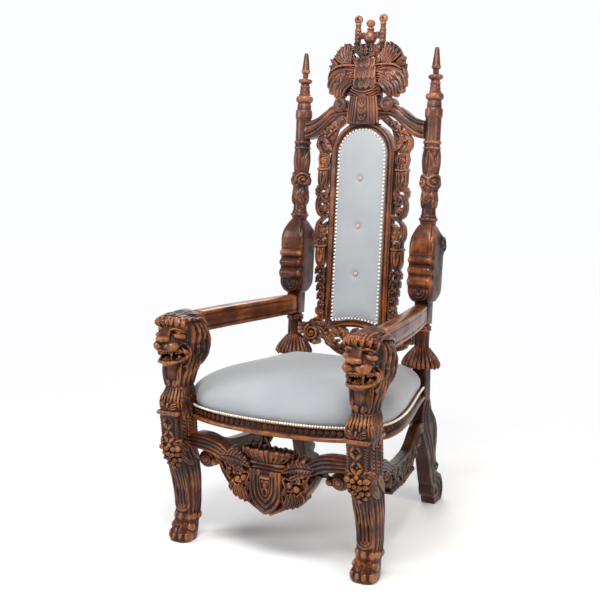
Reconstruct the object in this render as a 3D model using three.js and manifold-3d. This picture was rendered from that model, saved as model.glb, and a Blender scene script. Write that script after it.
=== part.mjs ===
// A carved hardwood throne with an upholstered seat and back.
// Two front legs rise from lion's paws to lion's heads, two rear legs run up as turned posts with spires,
// and a raked back holds a padded panel between pierced scrollwork, under a rail and an eagle crest.
// Units are millimetres. +Z is up, the throne faces -Y, and the origin is on the floor at the footprint's centre.

import * as THREE from "three";
import { mergeVertices } from "three/addons/utils/BufferGeometryUtils.js";
import Module from "manifold-3d";

const wasm = await Module();
wasm.setup();

// ---------------------------------------------------------------- driving dimensions

const GAP = 0.3; // clearance between pieces that touch
const FLOOR = 9; // heights below are drawn from a line this far under the floor
const LEG_X = 347; // front leg's axis, from the centre plane
const NOSE_Y = -467; // the lions' noses are the front of the throne
const POST_X = 264; // rear post's axis, from the centre plane
const POST_Y = 280; // where the back's plane crosses PIVOT_Z
const PIVOT_Z = 593; // height at which the back starts to lean
const RAKE = THREE.MathUtils.degToRad(5.15); // the back leans away by this
const COLUMN_R = 28.5; // turned column's radius
const BLOCK = 26; // half the side of the square block that takes the arm

const SEAT = { front: -415, back: 285, halfWidth: 382, backHalf: 286, widestY: -200 };
const RAIL = { bottom: 440, lip: 456, top: 485, inset: 12, inner: 52 };
const CUSHION = { top: 600, edge: 4, bottom: 449, centreY: -60 };

const PANEL = { half: 98, spring: 1320, bottom: 693, sag: 15, front: -22, crown: 16, back: 12 };
const FRAME = { width: 27, front: -27, back: 18 };
const BUTTON = { radius: 9, depth: 7, heights: [880, 1057, 1233] };

const CREST_RAIL = { front: -28, back: 24, postTop: 1443, postBottom: 1375 };
const VOLUTE = { x: 94, z: 1503, radius: 27 };

const WOOD = new THREE.MeshStandardMaterial({ color: 0x6b3018, roughness: 0.32, metalness: 0 });
const FABRIC = new THREE.MeshStandardMaterial({ color: 0xb9bec4, roughness: 0.85, metalness: 0 });
const BRASS = new THREE.MeshStandardMaterial({ color: 0xa8865a, roughness: 0.4, metalness: 1 });

// ---------------------------------------------------------------- solids

// A closed geometry as a manifold solid, turned so that its faces point out.
function solid(geometry) {
  const bare = new THREE.BufferGeometry();
  const source = geometry.index ? geometry.toNonIndexed() : geometry;
  bare.setAttribute("position", source.getAttribute("position"));
  const merged = mergeVertices(bare, 1e-3);
  const index = merged.index.array;
  const kept = [];
  for (let i = 0; i < index.length; i += 3) {
    const [a, b, c] = [index[i], index[i + 1], index[i + 2]];
    if (a !== b && b !== c && a !== c) kept.push(a, b, c);
  }
  const build = (triangles) =>
    new wasm.Manifold(
      new wasm.Mesh({
        numProp: 3,
        vertProperties: new Float32Array(merged.attributes.position.array),
        triVerts: new Uint32Array(triangles),
      }),
    );
  const made = build(kept);
  return made.volume() < 0 ? build(kept.reverse()) : made;
}

function join(...solids) {
  return solids.flat().reduce((whole, piece) => whole.add(piece));
}

function geometryOf(manifold) {
  const mesh = manifold.getMesh();
  const positions = new Float32Array(mesh.numVert * 3);
  for (let i = 0; i < mesh.numVert; i++) {
    positions.set(mesh.vertProperties.subarray(i * mesh.numProp, i * mesh.numProp + 3), i * 3);
  }
  const geometry = new THREE.BufferGeometry();
  geometry.setAttribute("position", new THREE.BufferAttribute(positions, 3));
  geometry.setIndex(new THREE.BufferAttribute(mesh.triVerts, 1));
  geometry.computeVertexNormals();
  return geometry;
}

function move(manifold, x, y, z) {
  return manifold.translate([x, y, z]);
}

function mirrorX(manifold) {
  return manifold.mirror([1, 0, 0]);
}

function box(x0, x1, y0, y1, z0, z1) {
  const geometry = new THREE.BoxGeometry(x1 - x0, y1 - y0, z1 - z0);
  return move(solid(geometry), (x0 + x1) / 2, (y0 + y1) / 2, (z0 + z1) / 2);
}

function ellipsoid(centre, radii, across = 8, up = 5) {
  const geometry = new THREE.SphereGeometry(1, across, up);
  geometry.rotateX(Math.PI / 2);
  geometry.scale(...radii);
  return move(solid(geometry), ...centre);
}

// A body turned about Z. The profile is a list of [radius, height].
function turned(profile, sides = 8) {
  const points = profile.map(([r, z]) => new THREE.Vector2(r, z));
  const geometry = new THREE.LatheGeometry(points, sides);
  geometry.rotateX(Math.PI / 2);
  return solid(geometry);
}

// Rings of equal length, joined one to the next and closed by a fan at each end.
function loft(rings) {
  const count = rings[0].length;
  const positions = [];
  const face = (...points) => points.forEach((p) => positions.push(p.x, p.y, p.z));
  for (let i = 0; i + 1 < rings.length; i++) {
    for (let j = 0; j < count; j++) {
      const k = (j + 1) % count;
      face(rings[i][j], rings[i][k], rings[i + 1][k]);
      face(rings[i][j], rings[i + 1][k], rings[i + 1][j]);
    }
  }
  const cap = (ring, flipped) => {
    const centre = ring.reduce((sum, p) => sum.add(p), new THREE.Vector3()).divideScalar(count);
    for (let j = 0; j < count; j++) {
      const k = (j + 1) % count;
      if (flipped) face(ring[j], ring[k], centre);
      else face(ring[k], ring[j], centre);
    }
  };
  cap(rings[0], false);
  cap(rings.at(-1), true);
  const geometry = new THREE.BufferGeometry();
  geometry.setAttribute("position", new THREE.Float32BufferAttribute(positions, 3));
  return solid(geometry);
}

// A level ring: power 2 is an ellipse, and more is squarer.
function levelRing([z, x, y, halfX, halfY, power = 3], sides = 10) {
  return Array.from({ length: sides }, (_, i) => {
    const angle = ((i + 0.5) / sides) * 2 * Math.PI;
    const bend = (v) => Math.sign(v) * Math.abs(v) ** (2 / power);
    return new THREE.Vector3(
      x + halfX * bend(Math.cos(angle)),
      y + halfY * bend(Math.sin(angle)),
      z,
    );
  });
}

// A shape drawn in x and z, given depth from y = front to y = back.
function plate(shape, front, back, curveSegments = 3) {
  const geometry = new THREE.ExtrudeGeometry(shape, {
    depth: back - front,
    bevelEnabled: false,
    curveSegments,
  });
  geometry.rotateX(Math.PI / 2);
  return move(solid(geometry), 0, back, 0);
}

function polygon(points) {
  return new THREE.Shape(points.map(([x, z]) => new THREE.Vector2(x, z)));
}

// A ribbon of carving: a smooth line through the points, with a width at each point.
function ribbon(points, widths, front, back, steps = 1) {
  const curve = new THREE.CatmullRomCurve3(points.map(([x, z]) => new THREE.Vector3(x, 0, z)));
  const count = (points.length - 1) * steps;
  const left = [];
  const right = [];
  for (let i = 0; i <= count; i++) {
    const t = i / count;
    const at = curve.getPoint(t);
    const along = curve.getTangent(t);
    const place = t * (widths.length - 1);
    const low = Math.min(Math.floor(place), widths.length - 2);
    const half = THREE.MathUtils.lerp(widths[low], widths[low + 1], place - low) / 2;
    left.push([at.x - along.z * half, at.z + along.x * half]);
    right.unshift([at.x + along.z * half, at.z - along.x * half]);
  }
  return plate(polygon([...left, ...right]), front, back);
}

function disc(x, z, radius, front, back, sides = 12) {
  const shape = polygon(
    Array.from({ length: sides }, (_, i) => {
      const angle = (i / sides) * 2 * Math.PI;
      return [x + radius * Math.cos(angle), z + radius * Math.sin(angle)];
    }),
  );
  return plate(shape, front, back);
}

// A shield: a square top, upright sides and a pointed foot.
function shield(x, top, half, height, front, back) {
  const shape = new THREE.Shape();
  shape.moveTo(x - half, top);
  shape.lineTo(x + half, top);
  shape.lineTo(x + half, top - 0.5 * height);
  shape.quadraticCurveTo(x + half * 0.9, top - 0.8 * height, x, top - height);
  shape.quadraticCurveTo(x - half * 0.9, top - 0.8 * height, x - half, top - 0.5 * height);
  return plate(shape, front, back, 3);
}

// ---------------------------------------------------------------- the raked back's own frame

// Heights in the back are measured up its slope, from the floor.
const backMatrix = new THREE.Matrix4()
  .makeTranslation(0, POST_Y, PIVOT_Z)
  .multiply(new THREE.Matrix4().makeRotationX(-RAKE))
  .multiply(new THREE.Matrix4().makeTranslation(0, 0, -PIVOT_Z));

function leaned(manifold) {
  return manifold.transform(backMatrix.elements);
}

// ---------------------------------------------------------------- front legs with lion's heads

const PAW = { toe: [12.5, 30, 25], y: -378, z: 24, toes: [-33, -11.5, 11.5, 33] };

// [z, x, y, half width, half depth, power], from under the floor up to the collar.
const LEG_RINGS = [
  [0, 0, -360, 41, 44, 3],
  [40, 0, -348, 42, 46, 3],
  [90, 0, -333, 40, 43, 3],
  [135, 0, -324, 38, 41, 3],
  [180, 0, -326, 39, 43, 3],
  [226, 0, -333, 41, 47, 3],
  [280, 0, -349, 44, 54, 3],
  [315, 0, -358, 45, 60, 3],
  [360, 0, -366, 44, 64, 4],
  [440, 0, -371, 41, 65, 5],
  [466, 0, -376, 41, 66, 5],
];
const NECK_RINGS = [
  [482, 0, -376, 41, 68, 5],
  [512, 0, -374, 41, 64, 5],
  [534, 0, -366, 38, 56, 3],
  [560, 0, -360, 38, 54, 2.6],
  [610, 0, -352, 43, 62, 2.4],
  [660, 0, -345, 50, 66, 2.4],
  [690, 0, -340, 52, 66, 2.4],
];

function lionLeg() {
  const toes = PAW.toes.map((x) => ellipsoid([x, PAW.y, PAW.z], PAW.toe, 6, 4));
  const collar = loft([
    levelRing([464, 0, -377, 44, 72, 6]),
    levelRing([484, 0, -377, 44, 72, 6]),
  ]);
  const head = [
    ellipsoid([0, -338, 736], [64, 92, 74]), // skull and mane
    ellipsoid([0, -300, 702], [66, 72, 92]), // mane behind the jaw
    ellipsoid([0, -398, 772], [52, 42, 29]), // brow
    ellipsoid([0, NOSE_Y + 46, 712], [38, 46, 31]), // muzzle
    ellipsoid([0, -412, 668], [31, 40, 22]), // lower jaw
  ];
  const whole = join(
    loft(LEG_RINGS.map((r) => levelRing(r))),
    loft(NECK_RINGS.map((r) => levelRing(r))),
    collar,
    ...toes,
    ...head,
  );
  return whole.subtract(box(-90, 90, -500, -200, -60, FLOOR));
}

// The block that the leg takes up at seat height, a little larger, to cut the seat rail with.
function legClearance() {
  const rings = [
    [400, 0, -377, 44 + GAP, 72 + GAP, 6],
    [610, 0, -377, 44 + GAP, 72 + GAP, 6],
  ];
  return loft(rings.map((r) => levelRing(r)));
}

// ---------------------------------------------------------------- rear legs and posts

// [radius, height up the slope], from the arm's block to the spire's tip.
const COLUMN = [
  [0, 1050],
  [29, 1050],
  [29, 1084],
  [34, 1088],
  [34, 1097],
  [28, 1103],
  [27, 1128],
  [31, 1160],
  [27, 1192],
  [33, 1222],
  [27, 1256],
  [30, 1300],
  [COLUMN_R, 1340],
  [31, 1350],
  [32, 1366],
  [COLUMN_R, 1374],
  [COLUMN_R, 1460],
  [32, 1462],
  [31, 1487],
  [26.5, 1491],
  [26.5, 1512],
  [31, 1520],
  [31, 1540],
  [20, 1546],
  [18, 1584],
  [27.5, 1592],
  [27.5, 1606],
  [13, 1612],
  [14, 1628],
  [20, 1638],
  [14, 1666],
  [10, 1703],
  [0, 1705],
];
const LOWER_COLUMN = [
  [0, 560],
  [28, 560],
  [29, 690],
  [33, 694],
  [33, 708],
  [25, 713],
  [25, 730],
  [0, 730],
];
const TASSEL = { top: 628, bottom: 557, topR: 30, halfX: 68, halfY: 60, lobes: 8 };
const BOLSTER = { half: 49, top: 1076, bottom: 787 };

// Side outline of the rolled scroll on the post, in y and height: bulging front, three ridges, tucked foot.
function bolsterOutline() {
  const shape = new THREE.Shape();
  shape.moveTo(-28, BOLSTER.top);
  shape.bezierCurveTo(-48, 1060, -62, 1030, -62, 985);
  shape.lineTo(-58, 962);
  [962, 927, 889].forEach((z, i) => {
    const drop = [35, 38, 43][i];
    shape.quadraticCurveTo(-78, z - drop / 2, -58, z - drop);
  });
  shape.bezierCurveTo(-56, 806, -38, 792, -10, BOLSTER.bottom);
  shape.bezierCurveTo(30, 790, 52, 820, 54, 860);
  shape.lineTo(54, 970);
  shape.bezierCurveTo(72, 985, 74, 1030, 50, 1046);
  shape.bezierCurveTo(38, 1056, 32, 1066, 28, BOLSTER.top);
  return shape;
}

// A shape drawn in y and z, spread from x = -half to x = half, with the long edges eased.
function sidePlate(shape, half, ease, curveSegments = 3) {
  const geometry = new THREE.ExtrudeGeometry(shape, {
    depth: 2 * (half - ease),
    bevelEnabled: ease > 0,
    bevelThickness: ease,
    bevelSize: ease,
    bevelOffset: -ease,
    bevelSegments: 1,
    curveSegments,
  });
  geometry.translate(0, 0, -(half - ease));
  geometry.rotateY(Math.PI / 2);
  geometry.rotateX(Math.PI / 2);
  return solid(geometry);
}

// A bell of carved tassel strands, wider at the foot, with a lobed hem.
function tassel() {
  const sides = 2 * TASSEL.lobes;
  const ring = (z, halfX, halfY, lobe) =>
    Array.from({ length: sides }, (_, i) => {
      const angle = (i / sides) * 2 * Math.PI;
      const swell = 1 + lobe * Math.cos(TASSEL.lobes * angle);
      const x = halfX * swell * Math.cos(angle);
      const y = halfY * swell * Math.sin(angle);
      return new THREE.Vector3(x, y, z);
    });
  const { top, bottom, topR, halfX, halfY } = TASSEL;
  const mix = (a, b, t) => a + (b - a) * t;
  return loft([
    ring(bottom, halfX * 0.75, halfY * 0.75, 0),
    ring(bottom + 3, halfX, halfY, 0.05),
    ring(mix(bottom, top, 0.35), mix(halfX, topR, 0.25), mix(halfY, topR, 0.25), 0.04),
    ring(mix(bottom, top, 0.75), mix(halfX, topR, 0.7), mix(halfY, topR, 0.7), 0.02),
    ring(top, topR, topR, 0),
  ]);
}

// Side outline of the rear leg, in y and z: square post, carved knee, shank and scroll foot.
const REAR_FOOT_Y = 467;
const REAR_LEG_HALF = 28;
function rearLegOutline() {
  const shape = new THREE.Shape();
  shape.moveTo(258, 600);
  shape.lineTo(262, 440);
  shape.bezierCurveTo(240, 420, 232, 380, 240, 340);
  shape.bezierCurveTo(246, 300, 286, 250, 306, 200);
  shape.bezierCurveTo(318, 160, 330, 110, 342, 90);
  shape.bezierCurveTo(336, 60, 352, 40, 372, 34);
  shape.lineTo(376, 0);
  shape.lineTo(446, 0);
  shape.bezierCurveTo(470, 30, REAR_FOOT_Y, 80, 440, 110);
  shape.bezierCurveTo(424, 122, 404, 126, 396, 136);
  shape.bezierCurveTo(416, 142, 416, 168, 394, 172);
  shape.bezierCurveTo(376, 190, 384, 230, 392, 260);
  shape.bezierCurveTo(400, 320, 350, 380, 318, 402);
  shape.lineTo(312, 440);
  shape.lineTo(312, 600);
  return shape;
}

function rearPost() {
  const block = box(-BLOCK, BLOCK, -BLOCK, BLOCK, 716, 800);
  const raked = join(
    turned(COLUMN),
    turned(LOWER_COLUMN),
    block,
    sidePlate(bolsterOutline(), BOLSTER.half, 8),
    tassel(),
  );
  const leg = sidePlate(rearLegOutline(), REAR_LEG_HALF, 4);
  return leaned(raked)
    .add(leg)
    .subtract(box(-90, 90, 150, 500, -60, FLOOR));
}

// What the rails have to clear at the rear posts, a little larger than the posts themselves.
function columnClearance(radius, bottom, top) {
  return turned([
    [0, bottom],
    [radius + GAP, bottom],
    [radius + GAP, top],
    [0, top],
  ]);
}

// ---------------------------------------------------------------- arms

function arm() {
  const path = [
    [LEG_X, -262, 758, 27, 38],
    [LEG_X - 6, -190, 757, 28, 38],
    [LEG_X - 26, -40, 755, 29, 38],
    [LEG_X - 56, 130, 753, 29, 37],
    [POST_X, 290, 752, 25, 36],
  ];
  const rings = path.map(([x, y, z, halfX, halfZ]) =>
    Array.from({ length: 12 }, (_, i) => {
      const angle = ((i + 0.5) / 12) * 2 * Math.PI;
      const bend = (v) => Math.sign(v) * Math.abs(v) ** 0.45;
      return new THREE.Vector3(
        x + halfX * bend(Math.cos(angle)),
        y,
        z + halfZ * bend(Math.sin(angle)),
      );
    }),
  );
  const whole = loft(rings);
  const grown = BLOCK + GAP;
  const post = leaned(box(-grown, grown, -grown, 2 * grown, 690, 830));
  return whole.subtract(move(post, POST_X, 0, 0));
}

// The lion's head and mane, a little larger, to cut the arm's front end with.
function headClearance() {
  return join(
    ellipsoid([0, -338, 736], [64 + GAP, 92 + GAP, 74 + GAP]),
    ellipsoid([0, -300, 702], [66 + GAP, 72 + GAP, 92 + GAP]),
  );
}

// ---------------------------------------------------------------- seat

// Plan of the seat: a bowed front, full sides and a straight back.
function seatOutline(grow) {
  const { front, back, halfWidth, backHalf, widestY } = SEAT;
  const shape = new THREE.Shape();
  const wide = halfWidth + grow;
  const rear = backHalf + grow;
  shape.moveTo(0, front - grow);
  shape.bezierCurveTo(190, front - grow, wide + 6, -372, wide, widestY);
  shape.bezierCurveTo(wide, -60, rear + 32, 90, rear, back + grow);
  shape.lineTo(-rear, back + grow);
  shape.bezierCurveTo(-rear - 32, 90, -wide, -60, -wide, widestY);
  shape.bezierCurveTo(-wide - 6, -372, -190, front - grow, 0, front - grow);
  return shape;
}

function slab(shape, bottom, top) {
  const geometry = new THREE.ExtrudeGeometry(shape, {
    depth: top - bottom,
    bevelEnabled: false,
    curveSegments: 7,
  });
  return move(solid(geometry), 0, 0, bottom);
}

// Room for the square post at the seat, and for the tassel over it.
function postClearances() {
  const side = REAR_LEG_HALF + 5;
  const reach = 1.08 * TASSEL.halfX;
  const square = box(-side, side, 250, 330, 400, 620);
  const bell = leaned(columnClearance(reach, TASSEL.bottom - 6, TASSEL.top + 20));
  const one = square.add(bell);
  return [move(one, POST_X, 0, 0), move(one, -POST_X, 0, 0)];
}

function seatRail() {
  const lip = slab(seatOutline(0), RAIL.bottom, RAIL.lip);
  const band = slab(seatOutline(-RAIL.inset), RAIL.lip, RAIL.top);
  const hollow = slab(seatOutline(-RAIL.inner), RAIL.bottom - 1, RAIL.top + 1);
  const legs = legClearance();
  const cutters = join(
    hollow,
    move(legs, LEG_X, 0, 0),
    move(mirrorX(legs), -LEG_X, 0, 0),
    ...postClearances(),
  );
  return lip.add(band).subtract(cutters);
}

function seatCushion() {
  const edge = seatOutline(-CUSHION.edge).getPoints(6);
  const middle = new THREE.Vector2(0, CUSHION.centreY);
  const ring = (share, z) =>
    edge.slice(0, -1).map((p) => {
      const q = p.clone().sub(middle).multiplyScalar(share).add(middle);
      return new THREE.Vector3(q.x, q.y, z);
    });
  const rise = CUSHION.top - RAIL.top;
  const dome = loft([
    ring(1, RAIL.top + GAP),
    ring(1.01, RAIL.top + 0.2 * rise),
    ring(0.98, RAIL.top + 0.45 * rise),
    ring(0.9, RAIL.top + 0.64 * rise),
    ring(0.68, RAIL.top + 0.86 * rise),
    ring(0.34, CUSHION.top),
  ]);
  const plug = slab(seatOutline(-RAIL.inner - 1), CUSHION.bottom, RAIL.top + 1);
  const legs = legClearance();
  const cutters = join(
    move(legs, LEG_X, 0, 0),
    move(mirrorX(legs), -LEG_X, 0, 0),
    ...postClearances(),
  );
  return dome.add(plug).subtract(cutters);
}

// ---------------------------------------------------------------- back panel

// Arched outline of the padded panel, or of its frame when it is grown.
function panelOutline(grow) {
  const { half, spring, bottom, sag } = PANEL;
  const r = half + grow;
  const foot = bottom - grow;
  const shape = new THREE.Shape();
  shape.moveTo(r, foot);
  shape.absarc(0, spring, r, 0, Math.PI, false);
  shape.lineTo(-r, foot);
  shape.quadraticCurveTo(0, foot + 2 * sag, r, foot);
  return shape;
}

function backFrame() {
  const shape = panelOutline(FRAME.width);
  const hole = new THREE.Path(panelOutline(GAP).getPoints(10));
  shape.holes.push(hole);
  return plate(shape, FRAME.front, FRAME.back, 10);
}

function backPad() {
  const { front, crown, back } = PANEL;
  const edge = panelOutline(0).getPoints(9);
  const midZ = (PANEL.spring + PANEL.bottom) / 2;
  const ring = (inset, y) =>
    edge.slice(0, -1).map((p) => {
      const shareX = 1 - inset / PANEL.half;
      const shareZ = 1 - inset / (midZ - PANEL.bottom);
      return new THREE.Vector3(p.x * shareX, y, midZ + (p.y - midZ) * shareZ);
    });
  return loft([ring(0, back), ring(0, front), ring(14, front - 0.5 * crown), ring(50, front - crown)]);
}

function button(height) {
  const { front, crown } = PANEL;
  const face = front - crown - GAP;
  const geometry = new THREE.CylinderGeometry(BUTTON.radius * 0.8, BUTTON.radius, BUTTON.depth, 12);
  geometry.rotateX(0);
  return move(solid(geometry), 0, face - BUTTON.depth / 2, height);
}

// ---------------------------------------------------------------- pierced work beside the panel

// The right-hand side, drawn in x and height up the slope. Strips of scrollwork, two shields and leaves.
const FRET = { front: -18, back: 8, seam: PANEL.half + FRAME.width + 4 };

function fretwork() {
  const { front, back, seam } = FRET;
  const strip = (points, widths) => ribbon(points, widths, front, back);
  const crest = (x, top, height) => shield(x, top, 20, height, front - 3, back);
  const pieces = [
    ribbon([[seam, 1345], [seam, 1050], [seam, 712]], [9, 8, 10], front + 6, back),
    // leaves in the corner under the crest rail
    strip([[70, 1462], [104, 1436], [140, 1406], [166, 1378]], [26, 30, 30, 24]),
    strip([[150, 1404], [178, 1384], [186, 1362], [176, 1338], [166, 1318]], [16, 18, 15, 15, 14]),
    strip([[seam, 1338], [146, 1356], [160, 1372]], [14, 14, 14]),
    // hook over the upper shield
    strip([[168, 1322], [148, 1316], [139, 1300], [149, 1284], [160, 1272]], [14, 14, 12, 12, 14]),
    crest(160, 1280, 92),
    // leaf and round scroll below it
    strip([[158, 1202], [173, 1194], [180, 1176], [176, 1156]], [16, 20, 16, 8]),
    strip([[154, 1205], [141, 1170], [150, 1150]], [18, 15, 14]),
    strip([[141, 1176], [168, 1166], [179, 1138], [172, 1104], [150, 1088]], [14, 14, 13, 14, 14]),
    strip([[150, 1092], [134, 1094], [seam, 1100]], [13, 12, 10]),
    strip([[164, 1164], [154, 1140], [150, 1116], [157, 1092]], [11, 12, 12, 12]),
    // leaves that join it to the lower shield
    strip([[150, 1088], [172, 1064], [177, 1030], [166, 1002], [150, 985]], [14, 14, 13, 14, 14]),
    strip([[132, 1066], [148, 1048], [146, 1020], [131, 1004]], [13, 13, 12, 12]),
    crest(157, 992, 98),
    // trailing leaves down to the foot
    strip([[157, 902], [172, 872], [173, 834], [155, 800], [149, 765]], [16, 18, 18, 18, 16]),
    strip([[131, 888], [149, 858], [144, 822], [157, 786], [149, 740], [142, 706]], [12, 13, 13, 18, 30, 22]),
  ];
  // the panel's frame curves in above its spring, and the crest rail crosses the corner
  return join(pieces)
    .subtract(plate(panelOutline(FRAME.width + GAP), -60, 60, 10))
    .subtract(plate(crestRailOutline(GAP), -60, 60));
}

// ---------------------------------------------------------------- rails of the back

// One half of the ogee crest rail, from the centre to the post, drawn in x and height.
function crestRailOutline(grow = 0) {
  const { postTop, postBottom } = CREST_RAIL;
  const edge = POST_X;
  const shape = new THREE.Shape();
  shape.moveTo(0, 1496 + grow);
  shape.lineTo(90, 1506 + grow);
  shape.bezierCurveTo(146, 1510 + grow, 165, 1468 + grow, 205, 1452 + grow);
  shape.quadraticCurveTo(220, 1446 + grow, edge, postTop + grow);
  shape.lineTo(edge, postBottom - grow);
  shape.quadraticCurveTo(220, 1376 - grow, 186, 1396 - grow);
  shape.bezierCurveTo(150, 1420 - grow, 130, 1462 - grow, 80, 1466 - grow);
  shape.lineTo(0, 1460 - grow);
  return shape;
}

function crestRail() {
  const { front, back } = CREST_RAIL;
  const half = plate(crestRailOutline(), front, back);
  const volute = disc(VOLUTE.x, VOLUTE.z, VOLUTE.radius, front - 14, back);
  const whole = join(half, mirrorX(half), volute, mirrorX(volute));
  const column = columnClearance(COLUMN_R, 1340, 1500);
  return whole
    .subtract(join(move(column, POST_X, 0, 0), move(column, -POST_X, 0, 0)))
    .subtract(plate(panelOutline(FRAME.width + GAP), -60, 60, 10));
}

// The rail under the panel: curled ends at the posts, a dipping ribbon and a pendant leaf.
function lowerRail() {
  const front = -24;
  const back = 16;
  const foot = PANEL.bottom - FRAME.width;
  const half = [
    ribbon([[262, 660], [225, 660], [196, 668], [172, 688], [160, 700]], [54, 50, 38, 26, 20], front, back),
    disc(176, 648, 33, front - 6, back, 14),
    disc(162, 612, 12, front, back, 10),
    ribbon([[178, 690], [140, 660], [96, 612], [52, 584], [0, 578]], [24, 34, 30, 26, 30], front, back),
    ribbon([[128, 678], [84, 668], [44, 640], [20, 612], [0, 600]], [18, 18, 20, 22, 24], front + 4, back),
    ribbon([[60, 676], [40, 652], [34, 628]], [12, 18, 12], front + 4, back),
    ribbon([[0, foot - 8 + PANEL.sag], [0, 590]], [34, 22], front, back),
  ];
  const whole = join(half, half.map(mirrorX));
  const column = columnClearance(29, 560, 705);
  const posts = join(move(column, POST_X, 0, 0), move(column, -POST_X, 0, 0));
  const above = plate(panelOutline(FRAME.width + GAP), -60, 60, 10);
  return whole.subtract(posts).subtract(above);
}

// ---------------------------------------------------------------- eagle crest

const CREST = { front: -16, back: 20 };

function eagleCrest() {
  const { front, back } = CREST;
  const bodyRing = ([z, halfX, halfY, y]) => levelRing([z, 0, y, halfX, halfY, 2.6], 8);
  const body = loft(
    [
      [1434, 20, 10, -32],
      [1452, 76, 18, -31],
      [1500, 68, 24, -24],
      [1545, 63, 28, -12],
      [1560, 66, 32, -8],
      [1600, 46, 32, -6],
      [1650, 36, 30, -5],
      [1676, 30, 26, -3],
      [1684, 34, 24, -2],
      [1700, 44, 28, -1],
      [1712, 46, 28, -1],
      [1722, 22, 16, -1],
    ].map(bodyRing),
  );
  const wing = new THREE.Shape();
  wing.moveTo(50, 1556);
  wing.lineTo(84, 1540);
  wing.lineTo(122, 1534);
  wing.quadraticCurveTo(146, 1556, 153, 1600);
  wing.quadraticCurveTo(155, 1640, 138, 1666);
  wing.quadraticCurveTo(130, 1698, 110, 1714);
  wing.lineTo(82, 1729);
  wing.lineTo(68, 1696);
  wing.lineTo(28, 1668);
  const wings = plate(wing, front, back, 4);
  const stave = turned(
    [
      [0, 1698],
      [8, 1698],
      [9.5, 1730],
      [9.5, 1790],
      [12, 1800],
      [16, 1814],
      [12, 1827],
      [0, 1832],
    ],
    7,
  );
  const half = [
    wings,
    move(stave, 50, -1, 0),
    ribbon([[30, 1702], [44, 1700], [56, 1712]], [16, 20, 12], -13, 11),
    ribbon([[0, 1756], [50, 1762]], [16, 14], -7, 5),
  ];
  const finial = turned(
    [
      [0, 1715],
      [10, 1720],
      [24, 1744],
      [24, 1756],
      [12, 1776],
      [12, 1784],
      [18, 1798],
      [12, 1812],
      [0, 1816],
    ],
    8,
  );
  const whole = join(body, half, half.map(mirrorX), move(finial, 0, -1, 0));
  const rail = crestRailBlock();
  return whole.subtract(rail);
}

// The crest rail and frame, a little larger, to cut the crest with.
function crestRailBlock() {
  const { front, back } = CREST_RAIL;
  const shape = polygon([
    [-130, 1446],
    [130, 1446],
    [130, 1480],
    [100, 1508],
    [0, 1497],
    [-100, 1508],
    [-130, 1480],
  ]);
  const volute = disc(VOLUTE.x, VOLUTE.z, VOLUTE.radius + 1, front - 16, back + GAP);
  return join(
    plate(shape, front - GAP, back + 20),
    volute,
    mirrorX(volute),
    plate(panelOutline(FRAME.width + GAP), FRAME.front - GAP, 60, 10),
  );
}

// ---------------------------------------------------------------- stretchers

// Half of each carving, drawn from the centre out to the leg: strips of [x, z, width].
const PLATE = { front: -15, back: 22 };
const FRONT_STRIPS = [
  // the arch that springs from the leg and falls to the crown
  [[347, 352, 36], [285, 360, 46], [235, 364, 54], [200, 360, 54], [165, 343, 54], [132, 322, 50], [60, 318, 36]],
  // the lower ribbon, from its curl near the leg to the shield's foot
  [[228, 310, 18], [200, 302, 20], [172, 272, 22], [150, 240, 24], [122, 216, 26], [85, 204, 30], [30, 196, 30]],
  // leaves between the two
  [[178, 330, 20], [166, 296, 20], [150, 262, 18]],
  [[110, 306, 30], [104, 268, 26], [96, 216, 20]],
  [[52, 286, 18], [92, 276, 30], [124, 262, 20], [150, 262, 14]],
  [[52, 232, 20], [84, 236, 16], [118, 232, 14]],
];
const SIDE_STRIPS = [
  // the arch that springs from the leg and dips to the middle
  [[307, 338, 34], [250, 346, 40], [212, 344, 44], [176, 328, 44], [140, 308, 42], [80, 292, 34], [0, 288, 34]],
  [[196, 300, 16], [172, 284, 18], [140, 250, 22], [100, 232, 24], [50, 226, 26], [0, 220, 32]],
  [[158, 312, 18], [146, 286, 18], [132, 252, 18]],
  [[92, 298, 28], [76, 232, 26]],
  [[20, 292, 36], [0, 225, 36]],
];
const CURL = { front: [235, 303, 21], side: [206, 308, 20] };
const CENTRE = { half: 58, top: 314, tip: 166, front: -30 };

function carvedHalf(strips, [curlX, curlZ, curlRadius]) {
  const { front, back } = PLATE;
  return [
    disc(curlX, curlZ, curlRadius, front - 4, back + 4),
    ...strips.map((strip, i) =>
      ribbon(
        strip.map(([x, z]) => [x, z]),
        strip.map(([, , width]) => width),
        i === 0 ? front - 4 : front,
        back,
        i === 0 ? 2 : 1,
      ),
    ),
  ];
}

// The middle of the front stretcher: a shield under a stepped cornice and a flared crown.
function crownedShield() {
  const { half, top, tip, front } = CENTRE;
  const y = front / 2 + PLATE.back / 2;
  const depth = (PLATE.back - front) / 2;
  const ring = (z, halfX, deeper) => levelRing([z, 0, y, halfX, depth + deeper, 4], 10);
  const crown = loft([
    ring(top - 2, half + 2, 1),
    ring(top + 8, half + 8, 5),
    ring(top + 24, half + 8, 6),
    ring(top + 28, half + 2, 0),
    ring(top + 68, half + 31, 5),
    ring(top + 75, half + 27, 2),
  ]);
  return join(shield(0, top, half, top - tip, front, PLATE.back), crown);
}

function frontStretcher(legs) {
  const half = carvedHalf(FRONT_STRIPS, CURL.front);
  const whole = join(half, half.map(mirrorX), crownedShield());
  return move(whole, 0, STRETCHER_Y, 0).subtract(legs);
}

// A side stretcher lies in the plane from the front leg to the rear leg.
const STRETCHER_Y = -358;
const SIDE = { frontX: 345, frontY: -324, backX: 268, backY: 285 };

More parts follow.
